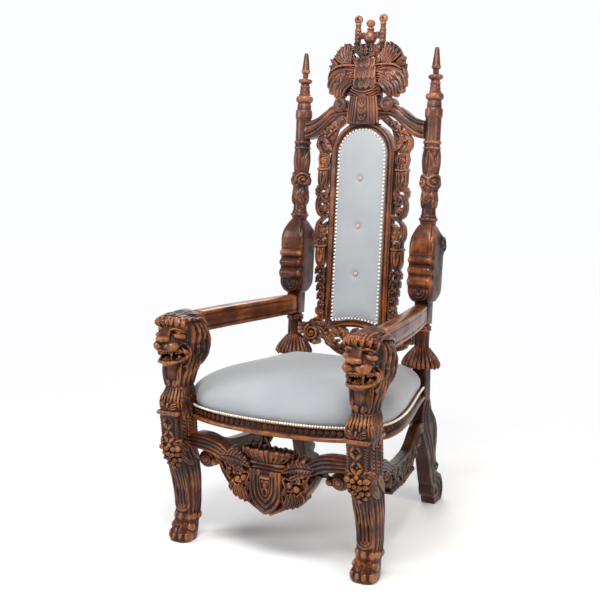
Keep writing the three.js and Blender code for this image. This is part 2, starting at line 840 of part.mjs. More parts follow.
function sideStretcher(cutters) {
  const dx = SIDE.backX - SIDE.frontX;
  const dy = SIDE.backY - SIDE.frontY;
  const turn = THREE.MathUtils.radToDeg(Math.atan2(dy, dx));
  const half = carvedHalf(SIDE_STRIPS, CURL.side);
  return join(half, half.map(mirrorX))
    .rotate([0, 0, turn])
    .translate([(SIDE.frontX + SIDE.backX) / 2, (SIDE.frontY + SIDE.backY) / 2, 0])
    .subtract(cutters);
}

// ---------------------------------------------------------------- the throne

const throne = new THREE.Group();
throne.position.z = -FLOOR;
const back = new THREE.Group();
back.applyMatrix4(backMatrix);
throne.add(back);

function add(parent, name, manifold, material) {
  const mesh = new THREE.Mesh(geometryOf(manifold), material);
  mesh.name = name;
  parent.add(mesh);
}

function addPair(parent, name, manifold, material) {
  add(parent, name + "_right", manifold, material);
  add(parent, name + "_left", mirrorX(manifold), material);
}

const leg = move(lionLeg(), LEG_X, 0, 0);
const post = move(rearPost(), POST_X, 0, 0);
// Leg and post grown by scaling about their own middles, to cut the stretchers that meet them.
const legSpace = move(
  loft(LEG_RINGS.map(([z, x, y, a, b, n]) => levelRing([z, x, y, a + GAP, b + GAP, n]))),
  LEG_X,
  0,
  0,
);
const postSpace = move(sidePlate(rearLegOutline(), REAR_LEG_HALF + GAP, 0), POST_X, 0, 0);
const postSpaceGrown = join(postSpace, move(postSpace, 0, -GAP, 0), move(postSpace, 0, GAP, 0));

addPair(throne, "lion_leg", leg, WOOD);
addPair(throne, "rear_post", post, WOOD);
addPair(throne, "arm", arm().subtract(move(headClearance(), LEG_X, 0, 0)), WOOD);
add(throne, "seat_rail", seatRail(), WOOD);
add(throne, "seat_cushion", seatCushion(), FABRIC);
add(throne, "front_stretcher", frontStretcher(join(legSpace, mirrorX(legSpace))), WOOD);
addPair(throne, "side_stretcher", sideStretcher(join(legSpace, postSpaceGrown)), WOOD);

add(back, "back_frame", backFrame(), WOOD);
add(back, "back_pad", backPad(), FABRIC);
BUTTON.heights.forEach((height, i) => add(back, "button_" + (i + 1), button(height), BRASS));
addPair(back, "fretwork", fretwork(), WOOD);
add(back, "crest_rail", crestRail(), WOOD);
add(back, "lower_back_rail", lowerRail(), WOOD);
add(back, "eagle_crest", eagleCrest(), WOOD);

export default throne;
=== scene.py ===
# %% [markdown]
# # A carved lion throne
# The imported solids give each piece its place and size. Here every piece gets its carving, its finish
# and its upholstery. All lengths in the carving cells are millimetres, and FLOOR is the height of the
# floor on the drawing that the pieces were laid out on.

# %% Load the frame
import math

import bmesh
import bpy
import numpy as np
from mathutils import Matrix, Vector


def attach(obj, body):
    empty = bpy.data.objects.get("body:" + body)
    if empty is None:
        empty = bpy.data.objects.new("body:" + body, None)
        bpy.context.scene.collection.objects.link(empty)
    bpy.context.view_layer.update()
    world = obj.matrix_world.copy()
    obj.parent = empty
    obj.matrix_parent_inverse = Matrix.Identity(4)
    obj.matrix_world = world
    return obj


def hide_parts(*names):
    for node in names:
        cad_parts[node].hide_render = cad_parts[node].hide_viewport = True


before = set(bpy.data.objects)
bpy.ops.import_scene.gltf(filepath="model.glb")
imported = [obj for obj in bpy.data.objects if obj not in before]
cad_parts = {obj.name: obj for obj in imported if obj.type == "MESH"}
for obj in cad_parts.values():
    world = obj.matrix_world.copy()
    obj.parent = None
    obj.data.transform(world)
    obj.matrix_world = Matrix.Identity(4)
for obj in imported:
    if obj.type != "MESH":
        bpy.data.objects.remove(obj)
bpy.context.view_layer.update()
FLOOR = 9.0
LEG_X, POST_X, POST_Y, PIVOT_Z = 347.0, 264.0, 280.0, 593.0
RAKE = math.radians(5.15)
HANDS = ((-1, "left"), (1, "right"))
print("nodes:", len(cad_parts))

# %% [markdown]
# ## Drawing a carving on a plane
# A Relief is a sheet with a height at each point. Strips of carving are laid along curves: each has
# a width and a height that change along its length, and a profile across it.

# %% Curves and profiles
EMPTY = -60.0


def smooth_line(points, count):
    """Points along a Catmull-Rom curve through the given ones, any number of dimensions."""
    p = np.asarray(points, float)
    p = np.vstack([2 * p[0] - p[1], p, 2 * p[-1] - p[-2]])
    spans = len(p) - 3
    t = np.linspace(0, spans, count)
    i = np.minimum(t.astype(int), spans - 1)
    f = (t - i)[:, None]
    a, b, c, d = p[i], p[i + 1], p[i + 2], p[i + 3]
    return 0.5 * (2 * b + (c - a) * f + (2 * a - 5 * b + 4 * c - d) * f**2 + (3 * b - a - 3 * c + d) * f**3)


def along(values, t):
    """The value at t, from 0 to 1, of numbers spread evenly along a strip."""
    values = np.atleast_1d(np.asarray(values, float))
    return np.interp(t, np.linspace(0, 1, len(values)), values)


def rounded(t, q):
    return np.sqrt(np.clip(1 - q * q, 0, 1))


def flat(t, q):
    return np.clip(4 * (1 - np.abs(q)), 0, 1) ** 0.5


def dished(t, q):
    return np.clip(5 * (1 - np.abs(q)), 0, 1) ** 0.5 * (0.55 + 0.45 * q * q)


def fluted(grooves, depth=0.3):
    """A flat band with grooves running along it."""

    def profile(t, q):
        wave = 0.5 + 0.5 * np.cos(math.pi * (grooves + 1) * (q + 1))
        return np.clip(5 * (1 - np.abs(q)), 0, 1) ** 0.5 * (1 - depth * wave)

    return profile


def veined(veins, depth=0.25, slant=0.35):
    """A leaf: a groove along the middle and veins that run out to the edge."""

    def profile(t, q):
        body = np.clip(1 - np.abs(q) ** 2.2, 0, 1) ** 0.5
        middle = 1 - 0.45 * np.exp(-((q / 0.14) ** 2))
        wave = 0.5 + 0.5 * np.cos(2 * math.pi * (veins * t - slant * veins * np.abs(q) * 0.4))
        return body * middle * (1 - depth * wave * np.clip(np.abs(q) * 2, 0, 1))

    return profile


# %% The relief sheet
def outline_distance(corners, u, v):
    """How far points are from a closed outline, negative inside it."""
    p = np.asarray(corners, float)
    near = np.full(np.broadcast(u, v).shape, 1e9)
    inside = np.zeros(near.shape, bool)
    for a, b in zip(p, np.roll(p, -1, 0)):
        d = b - a
        f = np.clip(((u - a[0]) * d[0] + (v - a[1]) * d[1]) / (d @ d + 1e-9), 0, 1)
        near = np.minimum(near, (u - a[0] - f * d[0]) ** 2 + (v - a[1] - f * d[1]) ** 2)
        crossing = (a[1] > v) != (b[1] > v)
        inside ^= crossing & (u < d[0] * (v - a[1]) / (d[1] if d[1] else 1e-9) + a[0])
    return np.where(inside, -1, 1) * np.sqrt(near)


class Relief:
    """A sheet of carving, u across and v up, with the surface's height at each point."""

    def __init__(self, u0, u1, v0, v1, step, floor=EMPTY):
        self.u = np.arange(u0, u1 + step / 2, step)
        self.v = np.arange(v0, v1 + step / 2, step)
        self.step = step
        self.height = np.full((len(self.u), len(self.v)), float(floor))
        self.edge = np.full(self.height.shape, 60.0)

    def window(self, lo, hi, margin):
        i = np.searchsorted(self.u, [lo[0] - margin, hi[0] + margin])
        j = np.searchsorted(self.v, [lo[1] - margin, hi[1] + margin])
        cut = (slice(*i), slice(*j))
        return cut, self.u[cut[0]][:, None], self.v[cut[1]][None, :]

    def lay(self, cut, edge, height, join="over"):
        """Puts a patch down: over what is there, or as a cut through it."""
        if join == "hole":
            self.edge[cut] = np.maximum(self.edge[cut], -edge)
            self.height[cut] = np.where(edge < 0, EMPTY, self.height[cut])
            return
        self.edge[cut] = np.minimum(self.edge[cut], edge)
        self.height[cut] = np.maximum(self.height[cut], np.where(edge < 0, height, EMPTY))

    def strip(self, points, widths, height, base=0.0, profile=rounded, lobes=0, bite=0.3, groove=False):
        """Carving along a curve. lobes cut teeth into its edges, and a groove is cut into what is there."""
        line = smooth_line(points, max(8, 5 * len(points) + 4 * int(lobes)))
        reach = 0.5 * np.max(np.atleast_1d(widths)) + 3
        cut, u, v = self.window(line.min(0), line.max(0), reach)
        if u.size == 0 or v.size == 0:
            return self
        near = np.full((u.size, v.size), 1e9)
        t = np.zeros_like(near)
        side = np.zeros_like(near)
        for k in range(len(line) - 1):
            (a0, a1), (d0, d1) = line[k], line[k + 1] - line[k]
            length = d0 * d0 + d1 * d1 + 1e-9
            f = np.clip(((u - a0) * d0 + (v - a1) * d1) / length, 0, 1)
            far = (u - a0 - f * d0) ** 2 + (v - a1 - f * d1) ** 2
            new = far < near
            near = np.where(new, far, near)
            t = np.where(new, (k + f) / (len(line) - 1), t)
            side = np.where(new, np.sign((u - a0) * d1 - (v - a1) * d0), side)
        away = np.sqrt(near)
        half = along(widths, t) / 2
        if lobes:
            tooth = np.mod(lobes * t - 0.25 * away / np.maximum(half, 1), 1)
            half = half * (1 - bite * tooth**2)
        q = side * away / np.maximum(half, 0.3)
        if groove:
            depth = along(height, t) * rounded(t, np.clip(q, -1, 1)) * (np.abs(q) < 1)
            self.height[cut] = np.where(self.height[cut] > EMPTY / 2, self.height[cut] - depth, EMPTY)
            return self
        self.lay(cut, away - half, base + along(height, t) * profile(t, np.clip(q, -1, 1)))
        return self

    def disc(self, centre, radius, height, base=0.0, profile=rounded, join="over"):
        cut, u, v = self.window(np.subtract(centre, radius), np.add(centre, radius), 3)
        away = np.hypot(u - centre[0], v - centre[1])
        self.lay(cut, away - radius, base + height * profile(0 * away, np.clip(away / radius, 0, 1)), join)
        return self

    def plate(self, corners, height, join="over", ease=1.5):
        """A flat shape with straight or curved sides, its rim eased off."""
        p = np.asarray(corners, float)
        cut, u, v = self.window(p.min(0), p.max(0), 4)
        edge = outline_distance(p, u, v)
        eased = height - ease * np.clip(1 + edge / ease, 0, 1) ** 2
        self.lay(cut, edge, eased, join)
        return self

    def leaf(self, points, width, height, base=0.0, lobes=5, veins=5):
        """An acanthus leaf, lobed and veined, widest near its foot."""
        env = [0.35, 0.8, 1.0, 0.95, 0.75, 0.45, 0.12]
        return self.strip(points, width * np.array(env), height, base, veined(veins), lobes, 0.35)

    def scroll(self, centre, radius, turns, start, width, height, base=0.0, hand=1):
        """A volute: a spiral strip that ends in an eye."""
        t = np.linspace(0, 1, int(10 * turns) + 4)
        a = np.radians(start) + hand * 2 * math.pi * turns * t
        r = radius * (1 - t) ** 0.8 + 0.16 * radius * t
        line = np.stack([centre[0] + r * np.cos(a), centre[1] + r * np.sin(a)], 1)
        self.strip(line, [width, width * 0.9, width * 0.7, width * 0.5], height, base)
        return self.disc(centre, 0.3 * radius, height * 1.25, base)

    def mirrored(self):
        """The right half copied to the left. The sheet has to start at u = 0."""
        both = Relief(-self.u[-1], self.u[-1], self.v[0], self.v[-1], self.step)
        both.height = np.concatenate([self.height[:0:-1], self.height])
        both.edge = np.concatenate([self.edge[:0:-1], self.edge])
        both.u = np.concatenate([-self.u[:0:-1], self.u])
        both.v = self.v
        return both


# %% [markdown]
# ## Carving in the round
# A Block is a field of distances to a surface, negative inside the wood. Shapes are blended on and
# cut away, and the surface is then drawn through the zeros.

# %% The block
def soften(a, b, k):
    """The lower of two fields, melted together over a width of k."""
    if k <= 0:
        return np.minimum(a, b)
    h = np.clip(k - np.abs(a - b), 0, None) / k
    return np.minimum(a, b) - h * h * k / 4


class Block:
    """A field on a grid, step apart from corner lo to corner hi. Shapes act up to reach beyond themselves."""

    def __init__(self, lo, hi, step, reach=10.0):
        self.lo, self.step, self.reach = np.asarray(lo, float), step, reach
        self.axes = [np.arange(a, b + step / 2, step, dtype=np.float32) for a, b in zip(lo, hi)]
        self.field = np.full([len(a) for a in self.axes], 30.0, np.float32)

    def window(self, lo, hi, margin=0.0):
        cut, at = [], []
        for n, axis in enumerate(self.axes):
            i, j = np.searchsorted(axis, [lo[n] - margin, hi[n] + margin])
            cut.append(slice(i, j))
            shape = [1, 1, 1]
            shape[n] = j - i
            at.append(axis[i:j].reshape(shape))
        return tuple(cut), at

    def add(self, shape, blend=0.0, sign=1):
        """Joins a shape on, or with sign = -1 cuts it away."""
        inside, lo, hi = shape
        cut, at = self.window(lo, hi, blend + self.reach)
        if all(a.size for a in at):
            self.field[cut] = sign * soften(sign * self.field[cut], inside(*at), blend)
        return self

    def cut(self, shape, blend=0.0):
        return self.add(shape, blend, -1)

    def land(self, points, above=0.0):
        """Brings points that are near the wood onto its surface, or above it."""
        p = np.array(points, float)
        for _ in range(4):
            f, g = self.sample(p)
            close = np.abs(f) < 14
            p -= np.where(close, f - above, 0)[:, None] * g
        return p

    def sample(self, p):
        """The field and its upward direction at points."""
        at = np.clip((p - self.lo) / self.step, 1, np.array(self.field.shape) - 2.001)
        i = at.astype(int)
        t = at - i
        f = np.zeros(len(p))
        g = np.zeros((len(p), 3))
        for c in np.ndindex(2, 2, 2):
            k = i + c
            w = np.prod(np.where(c, t, 1 - t), 1)
            f += w * self.field[tuple(k.T)]
            for n in range(3):
                up, down = k.copy(), k.copy()
                up[:, n] = np.minimum(up[:, n] + 1, self.field.shape[n] - 1)
                down[:, n] -= 1
                g[:, n] += w * (self.field[tuple(up.T)] - self.field[tuple(down.T)])
        return f, g / np.maximum(np.linalg.norm(g, axis=1), 1e-6)[:, None]

    def trace(self, points, radii, above=0.0, blend=1.0, cut=False, count=None):
        """A strand laid on the wood, or a groove cut in it, along a curve."""
        line = smooth_line(points, count or 3 * len(points))
        strand = rope(self.land(line, above), radii, len(line))
        return self.cut(strand, blend) if cut else self.add(strand, blend)

    def swell(self, amount, lo, hi):
        """Moves the surface out by amount(x, y, z)."""
        cut, at = self.window(lo, hi)
        self.field[cut] -= amount(*at)
        return self


class Pair:
    """The two sides of a block: what is carved on the right is carved on the left as well."""

    def __init__(self, block):
        self.block = block

    def add(self, shape, blend=0.0, sign=1):
        inside, lo, hi = shape
        other = (lambda x, y, z: inside(-x, y, z)), (-hi[0], lo[1], lo[2]), (-lo[0], hi[1], hi[2])
        self.block.add(shape, blend, sign).add(other, blend, sign)
        return self

    def cut(self, shape, blend=0.0):
        return self.add(shape, blend, -1)

    def trace(self, points, *how):
        for s in (1, -1):
            self.block.trace([(s * x, y, z) for x, y, z in points], *how)

    def land(self, points, above=0.0):
        return self.block.land(points, above)


def moved(shape, dx, dy=0.0):
    """A shape carried to another place on the level."""
    inside, lo, hi = shape
    return (lambda x, y, z: inside(x - dx, y - dy, z)), np.add(lo, (dx, dy, 0)), np.add(hi, (dx, dy, 0))


def grown(shape, amount):
    """A shape made bigger by an amount all round."""
    inside, lo, hi = shape
    return (lambda x, y, z: inside(x, y, z) - amount), lo, hi


def ball(centre, radii, tilt=0.0, turn=0.0):
    """An ellipsoid. tilt turns it about X and turn about Z, in degrees."""
    r = np.broadcast_to(np.asarray(radii, float), 3)
    c = np.asarray(centre, float)
    ca, sa = math.cos(math.radians(tilt)), math.sin(math.radians(tilt))
    cb, sb = math.cos(math.radians(turn)), math.sin(math.radians(turn))

    def inside(x, y, z):
        x, y, z = x - c[0], y - c[1], z - c[2]
        x, y = cb * x + sb * y, cb * y - sb * x
        y, z = ca * y + sa * z, ca * z - sa * y
        k0 = np.sqrt((x / r[0]) ** 2 + (y / r[1]) ** 2 + (z / r[2]) ** 2)
        k1 = np.sqrt((x / r[0] ** 2) ** 2 + (y / r[1] ** 2) ** 2 + (z / r[2] ** 2) ** 2)
        return k0 * (k0 - 1) / np.maximum(k1, 1e-6)

    reach = np.full(3, r.max()) if tilt or turn else r
    return inside, c - reach, c + reach


def boxed(a, b, c, ease):
    """Distance to a box's rounded surface, from how far a point is past its faces along each axis."""
    out = np.sqrt(np.maximum(a, 0) ** 2 + np.maximum(b, 0) ** 2 + np.maximum(c, 0) ** 2)
    return out + np.minimum(np.maximum(np.maximum(a, b), c), 0) - ease


def slab(centre, halves, ease=2.0):
    """A box with rounded edges."""
    c, h = np.asarray(centre, float), np.asarray(halves, float) - ease

    def inside(x, y, z):
        return boxed(np.abs(x - c[0]) - h[0], np.abs(y - c[1]) - h[1], np.abs(z - c[2]) - h[2], ease)

    return inside, c - h - ease, c + h + ease


def rope(points, radii, count=None):
    """A round strand along a curve, its radius changing along it."""
    line = smooth_line(points, count or 4 * len(points))
    radius = along(radii, np.linspace(0, 1, len(line)))

    def inside(x, y, z):
        best = None
        for k in range(len(line) - 1):
            a, d = line[k], line[k + 1] - line[k]
            f = ((x - a[0]) * d[0] + (y - a[1]) * d[1] + (z - a[2]) * d[2]) / (d @ d + 1e-9)
            f = np.clip(f, 0, 1)
            away = np.sqrt((x - a[0] - f * d[0]) ** 2 + (y - a[1] - f * d[1]) ** 2 + (z - a[2] - f * d[2]) ** 2)
            away = away - radius[k] - f * (radius[k + 1] - radius[k])
            best = away if best is None else np.minimum(best, away)
        return best

    return inside, line.min(0) - radius.max(), line.max(0) + radius.max()


def column(rings):
    """A pillar given by level rings [z, x, y, half width, half depth, power]."""
    rings = np.asarray(rings, float)

    def inside(x, y, z):
        cx, cy, a, b, n = (np.interp(z, rings[:, 0], rings[:, k]) for k in range(1, 6))
        q = (np.abs((x - cx) / a) ** n + np.abs((y - cy) / b) ** n + 1e-12) ** (1 / n)
        side = (q - 1) * np.minimum(a, b)
        return np.maximum(side, np.maximum(rings[0, 0] - z, z - rings[-1, 0]))

    wide = rings[:, 3].max() + np.abs(rings[:, 1]).max()
    lo = [-wide, (rings[:, 2] - rings[:, 4]).min(), rings[0, 0]]
    hi = [wide, (rings[:, 2] + rings[:, 4]).max(), rings[-1, 0]]
    return inside, lo, hi


# %% Drawing the surface
def skin(block):
    """Corners and four-sided faces of the surface through the block's zeros."""
    d = block.field
    for n in range(3):
        for end in (0, -1):
            edge = [slice(None)] * 3
            edge[n] = end
            d[tuple(edge)] = np.maximum(d[tuple(edge)], 0.2)
    solid = d < 0
    corners = [(i, j, k) for i in (0, 1) for j in (0, 1) for k in (0, 1)]
    parts = [slice(0, -1), slice(1, None)]
    count = sum(solid[parts[i], parts[j], parts[k]].astype(np.uint8) for i, j, k in corners)
    cells = np.argwhere((count > 0) & (count < 8))
    index = np.full(count.shape, -1, np.int32)
    index[tuple(cells.T)] = np.arange(len(cells))
    value = {c: d[cells[:, 0] + c[0], cells[:, 1] + c[1], cells[:, 2] + c[2]] for c in corners}
    total = np.zeros((len(cells), 3))
    hits = np.zeros(len(cells))
    for a in corners:
        for n in range(3):
            if a[n]:
                continue
            va, vb = value[a], value[tuple(1 if m == n else a[m] for m in range(3))]
            cross = (va < 0) != (vb < 0)
            t = np.where(cross, va / np.where(cross, va - vb, 1), 0)
            for m in range(3):
                total[:, m] += np.where(cross, a[m] + (t if m == n else 0), 0)
            hits += cross
    points = block.lo + block.step * (cells + total / hits[:, None])
    faces = []
    for n in range(3):
        p, q = [m for m in range(3) if m != n]
        inner = [slice(1, -1)] * 3
        outer = list(inner)
        inner[n], outer[n] = slice(0, -1), slice(1, None)
        first = solid[tuple(inner)]
        edges = np.argwhere(first != solid[tuple(outer)])
        out = first[tuple(edges.T)]
        quad = []
        for i, j in ((0, 0), (1, 0), (1, 1), (0, 1)):
            at = edges.copy()
            at[:, p] += i
            at[:, q] += j
            quad.append(index[tuple(at.T)])
        quad = np.stack(quad, 1)
        out = out if n != 1 else ~out
        faces.append(np.where(out[:, None], quad, quad[:, ::-1]))
    return points, np.concatenate(faces)


def lean(points):
    """From the raked back's own frame to the throne's."""
    y, z = points[:, 1].copy(), points[:, 2] - PIVOT_Z
    points = points.copy()
    points[:, 1] = POST_Y + y * math.cos(RAKE) + z * math.sin(RAKE)
    points[:, 2] = PIVOT_Z + z * math.cos(RAKE) - y * math.sin(RAKE)
    return points


def to_mesh(name, points, faces, shift=0.0, side=1, thin=None, rounds=14):
    """A mesh object in metres. side = -1 mirrors it, and thin is the number of triangles to keep."""
    p = points.copy()
    p[:, 0] = side * (p[:, 0] + shift)
    p[:, 2] -= FLOOR
    f = faces if side > 0 else faces[:, ::-1]
    mesh = bpy.data.meshes.new(name)
    mesh.vertices.add(len(p))
    mesh.vertices.foreach_set("co", (p / 1000).astype(np.float32).ravel())
    n = f.shape[1]
    mesh.loops.add(f.size)
    mesh.loops.foreach_set("vertex_index", f.astype(np.int32).ravel())
    mesh.polygons.add(len(f))
    mesh.polygons.foreach_set("loop_start", np.arange(0, f.size, n, dtype=np.int32))
    mesh.polygons.foreach_set("loop_total", np.full(len(f), n, dtype=np.int32))
    mesh.polygons.foreach_set("use_smooth", np.ones(len(f), bool))
    mesh.update(calc_edges=True)
    piece = bpy.data.objects.new(name, mesh)
    bpy.context.scene.collection.objects.link(piece)
    count = f.size // n * (n - 2)
    if thin and count > thin:
        reduce = piece.modifiers.new("Thin", "DECIMATE")
        reduce.ratio = thin / count
        plain_mesh(piece)
    proud_for_wear_and_shade(piece, rounds)
    print(name, "triangles:", sum(len(q.vertices) - 2 for q in piece.data.polygons))
    return piece


def plain_mesh(piece):
    """Turns the modifiers' result into the piece's own mesh."""
    graph = bpy.context.evaluated_depsgraph_get()
    mesh = bpy.data.meshes.new_from_object(piece.evaluated_get(graph))
    old = piece.data
    piece.modifiers.clear()
    piece.data = mesh
    mesh.name = piece.name
    bpy.data.meshes.remove(old)


# The finish reads this height as gathered stain and rubbed wear, and also as painted shade in the hollows and a
# painted highlight on the ridges.
def proud_for_wear_and_shade(piece, rounds=14, reach=3.5):
    """Stores how proud each corner is, in millimetres, for the finish to read: its height over the
    surface that is left after some rounds of smoothing. An edge longer than reach counts for less."""
    mesh = piece.data
    p = np.empty(len(mesh.vertices) * 3, np.float32)
    mesh.vertices.foreach_get("co", p)
    p = p.reshape(-1, 3) * 1000.0
    e = np.empty(len(mesh.edges) * 2, np.int32)
    mesh.edges.foreach_get("vertices", e)
    a, b = e[::2], e[1::2]
    near = np.maximum(np.bincount(a, minlength=len(p)) + np.bincount(b, minlength=len(p)), 1)
    pull = np.minimum(1, (reach / np.maximum(np.linalg.norm(p[a] - p[b], axis=1), 0.1)) ** 2)
    flat = p.copy()
    for _ in range(rounds):
        step = pull[:, None] * (flat[b] - flat[a])
        moves = [np.bincount(a, step[:, k], len(p)) - np.bincount(b, step[:, k], len(p)) for k in range(3)]
        flat = flat + np.stack(moves, 1) / near[:, None]
    normal = np.empty(len(p) * 3, np.float32)
    mesh.vertices.foreach_get("normal", normal)
    height = ((p - flat) * normal.reshape(-1, 3)).sum(1)
    layer = mesh.attributes.get("proud") or mesh.attributes.new("proud", "FLOAT", "POINT")
    layer.data.foreach_set("value", np.clip(height, -6, 6).astype(np.float32))


# %% [markdown]
# A relief can stand on its own as a pierced plate, or be pressed onto a form in the round.

# %% From sheet to wood
def sampled(sheet, u, v, values=None):
    """The sheet's height, or other values on its grid, at any u and v."""
    i = np.clip((u - sheet.u[0]) / sheet.step, 0, len(sheet.u) - 1.001)
    j = np.clip((v - sheet.v[0]) / sheet.step, 0, len(sheet.v) - 1.001)
    i, j = np.broadcast_arrays(i, j)
    a, b = i.astype(int), j.astype(int)
    f, g = i - a, j - b
    h = sheet.height if values is None else values
    low = h[a, b] * (1 - f) + h[a + 1, b] * f
    high = h[a, b + 1] * (1 - f) + h[a + 1, b + 1] * f
    return low * (1 - g) + high * g


def plate_block(sheet, front, back, step, ahead=3, behind=3, above=3):
    """A pierced plate in x and z. front is the y that heights are measured from, and back is its back.
    ahead, behind and above leave room in the block for rounder work."""
    lo = [sheet.u[0] - 3, front - sheet.height.max() - ahead, sheet.v[0] - 3]
    hi = [sheet.u[-1] + 3, back + behind, sheet.v[-1] + above]
    block = Block(lo, hi, step)
    x, y, z = (axis.reshape([-1 if m == n else 1 for m in range(3)]) for n, axis in enumerate(block.axes))
    u, v = x[:, 0, :], z[:, 0, :]
    edge = sampled(sheet, u, v, sheet.edge)
    top = sheet.height.copy()
    for _ in range(3):
        spread = top.copy()
        for n in range(2):
            for k in (-1, 1):
                spread = np.maximum(spread, np.roll(top, k, n))
        top = np.where(top < EMPTY / 2, spread, top)
    high = sampled(sheet, u, v, top)
    outside = (u < sheet.u[0]) | (u > sheet.u[-1]) | (v < sheet.v[0]) | (v > sheet.v[-1])
    edge = np.where(outside, 3.0, edge)
    back_at = back - 4 * np.clip(1 + edge / 4, 0, 1) ** 2
    field = np.maximum(front - high[:, None, :] - y, y - back_at[:, None, :])
    block.field = np.maximum(field, edge[:, None, :]).astype(np.float32)
    return block


def settle(piece, node=None, finish=None):
    """Gives a piece its finish and its place in the frame: the body and the solid it replaces."""
    if finish:
        piece.data.materials.clear()
        piece.data.materials.append(finish)
    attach(piece, "root")
    if node:
        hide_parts(node)


print("surface kit ready")

# %% [markdown]
# ## Finishes
# The wood is mahogany, carved, stained and French polished. The finish reads how proud each corner
# stands: stain gathers in the hollows and rubs off the ridges, and the hollows also carry painted shade
# and the ridges a painted highlight. The shellac gives a clear gloss. Behind the front legs and under
# the seat the wood is painted darker as shade. High on the back, the proud wood is painted paler and
# pinker as a painted highlight.

# %% Colours and node helpers
def colour(code):
    """An sRGB hex value as linear numbers."""
    parts = [int(code[i : i + 2], 16) / 255 for i in (0, 2, 4)]
    return [c / 12.92 if c <= 0.04045 else ((c + 0.055) / 1.055) ** 2.4 for c in parts] + [1.0]


def add(tree, kind, inputs=None, links=None, **settings):
    """A node with its settings, its input values and the sockets that feed it."""
    node = tree.nodes.new(kind)
    for key, value in settings.items():
        setattr(node, key, value)
    for key, value in (inputs or {}).items():
        node.inputs[key].default_value = value
    for key, socket in (links or {}).items():
        tree.links.new(socket, node.inputs[key])
    return node


def ranged(tree, value, low, high, to_low=0.0, to_high=1.0, kind="LINEAR"):
    """A value brought from one range to another."""
    limits = {"From Min": low, "From Max": high, "To Min": to_low, "To Max": to_high}
    return add(tree, "ShaderNodeMapRange", limits, {"Value": value}, interpolation_type=kind).outputs[0]


def maths(tree, operation, a, b, **settings):
    return add(tree, "ShaderNodeMath", None, {0: a, 1: b}, operation=operation, **settings).outputs[0]


def mixed(tree, share, under, code):
    """A colour socket with a plain colour mixed over it."""
    return add(tree, "ShaderNodeMix", {7: colour(code)}, {0: share, 6: under}, data_type="RGBA").outputs[2]


def ramp(tree, value, *marks):
    """A colour ramp, from pairs of place and hex colour."""
    node = add(tree, "ShaderNodeValToRGB", None, {"Fac": value})
    band = node.color_ramp
    while len(band.elements) > 1:
        band.elements.remove(band.elements[-1])
    band.elements[0].position, band.elements[0].color = marks[0][0], colour(marks[0][1])
    for place, code in marks[1:]:
        band.elements.new(place).color = colour(code)
    return node.outputs["Color"]


def new_finish(name, **values):
    """A new material, its tree, its shader with some values set, and the place on the object."""
    material = bpy.data.materials.new(name)
    material.use_nodes = True
    tree = material.node_tree
    shader = tree.nodes["Principled BSDF"]
    for key, value in values.items():
        shader.inputs[key.replace("_", " ")].default_value = value
    return material, tree, shader, add(tree, "ShaderNodeTexCoord").outputs["Object"]


def cloudy(tree, place, scale, detail, **inputs):
    return add(tree, "ShaderNodeTexNoise", {"Scale": scale, "Detail": detail, **inputs},
               {"Vector": place}).outputs["Fac"]


def roughen(tree, shader, height, strength, distance):
    bump = add(tree, "ShaderNodeBump", {"Strength": strength, "Distance": distance}, {"Height": height})
    tree.links.new(bump.outputs[0], shader.inputs["Normal"])


# %% French-polished mahogany
def mahogany(name, hollow, ground, ridge, streak, grain):
    """grain gives how quickly the fibres change along each axis, per metre: slowly along the grain."""
    look = {"IOR": 1.36, "Coat_Weight": 0.15, "Coat_Roughness": 0.18}
    material, tree, shader, place = new_finish(name, **look)
    proud = add(tree, "ShaderNodeAttribute", attribute_name="proud").outputs["Fac"]
    mottle = cloudy(tree, place, 13.0, 6.0)
    shade = add(tree, "ShaderNodeMath", {1: 1.5, 2: -0.76}, {0: mottle}, operation="MULTIPLY_ADD").outputs[0]
    tone = maths(tree, "ADD", ranged(tree, proud, -1.9, 3.0), shade)
    # Hollows go dark from gathered stain and painted shade, and ridges go pale from rubbed wear and a painted
    # highlight.
    stain_and_painted_light = ramp(tree, tone, (0.2, hollow), (0.4, ground), (0.54, ground), (0.86, ridge))
    run = add(tree, "ShaderNodeMapping", {"Scale": grain}, {"Vector": place}).outputs[0]
    fibre = cloudy(tree, run, 1.0, 4.0, Distortion=0.4)
    stain_and_painted_light = mixed(tree, ranged(tree, fibre, 0.42, 0.7, 0.0, 0.65), stain_and_painted_light, streak)
    parts = add(tree, "ShaderNodeSeparateXYZ", None, {0: place}).outputs
    # Painted highlight: proud wood high on the back is mixed towards a pale pink, where the overhead light
    # falls.
    high = ranged(tree, parts["Z"], 0.9, 1.5, 0.0, 0.34)
    stain_and_painted_light = mixed(tree, maths(tree, "MULTIPLY", high, tone, use_clamp=True), stain_and_painted_light, "a9796a")
    # Painted shade: wood behind the front legs and low under the seat is mixed towards near-black.
    aft = ranged(tree, parts["Y"], -0.32, -0.12)
    under = ranged(tree, parts["Z"], 0.47, 0.42, 0.0, 0.65)
    stain_and_painted_light = mixed(tree, maths(tree, "MULTIPLY", aft, under), stain_and_painted_light, "261106")
    tree.links.new(stain_and_painted_light, shader.inputs["Base Color"])
    tree.links.new(ranged(tree, tone, 0.1, 0.5, 0.62, 0.3), shader.inputs["Roughness"])
    roughen(tree, shader, fibre, 0.25, 0.0006)
    return material


# Colours: hollows (stain and painted shade), ground, ridges (wear and a painted highlight), grain streaks.
carved_wood = mahogany("french_polished_mahogany", "0a0200", "4e200b", "9c5c30", "200902", (90.0, 90.0, 9.0))
print("finish:", carved_wood.name)

# %% [markdown]
# The plain rails have the same finish over flatter wood, so they show more of the grain and a
# lighter, browner ground. Their fibres run along the rail.

# %% Mahogany on the rails
RAILS = "french_polished_mahogany_rails"
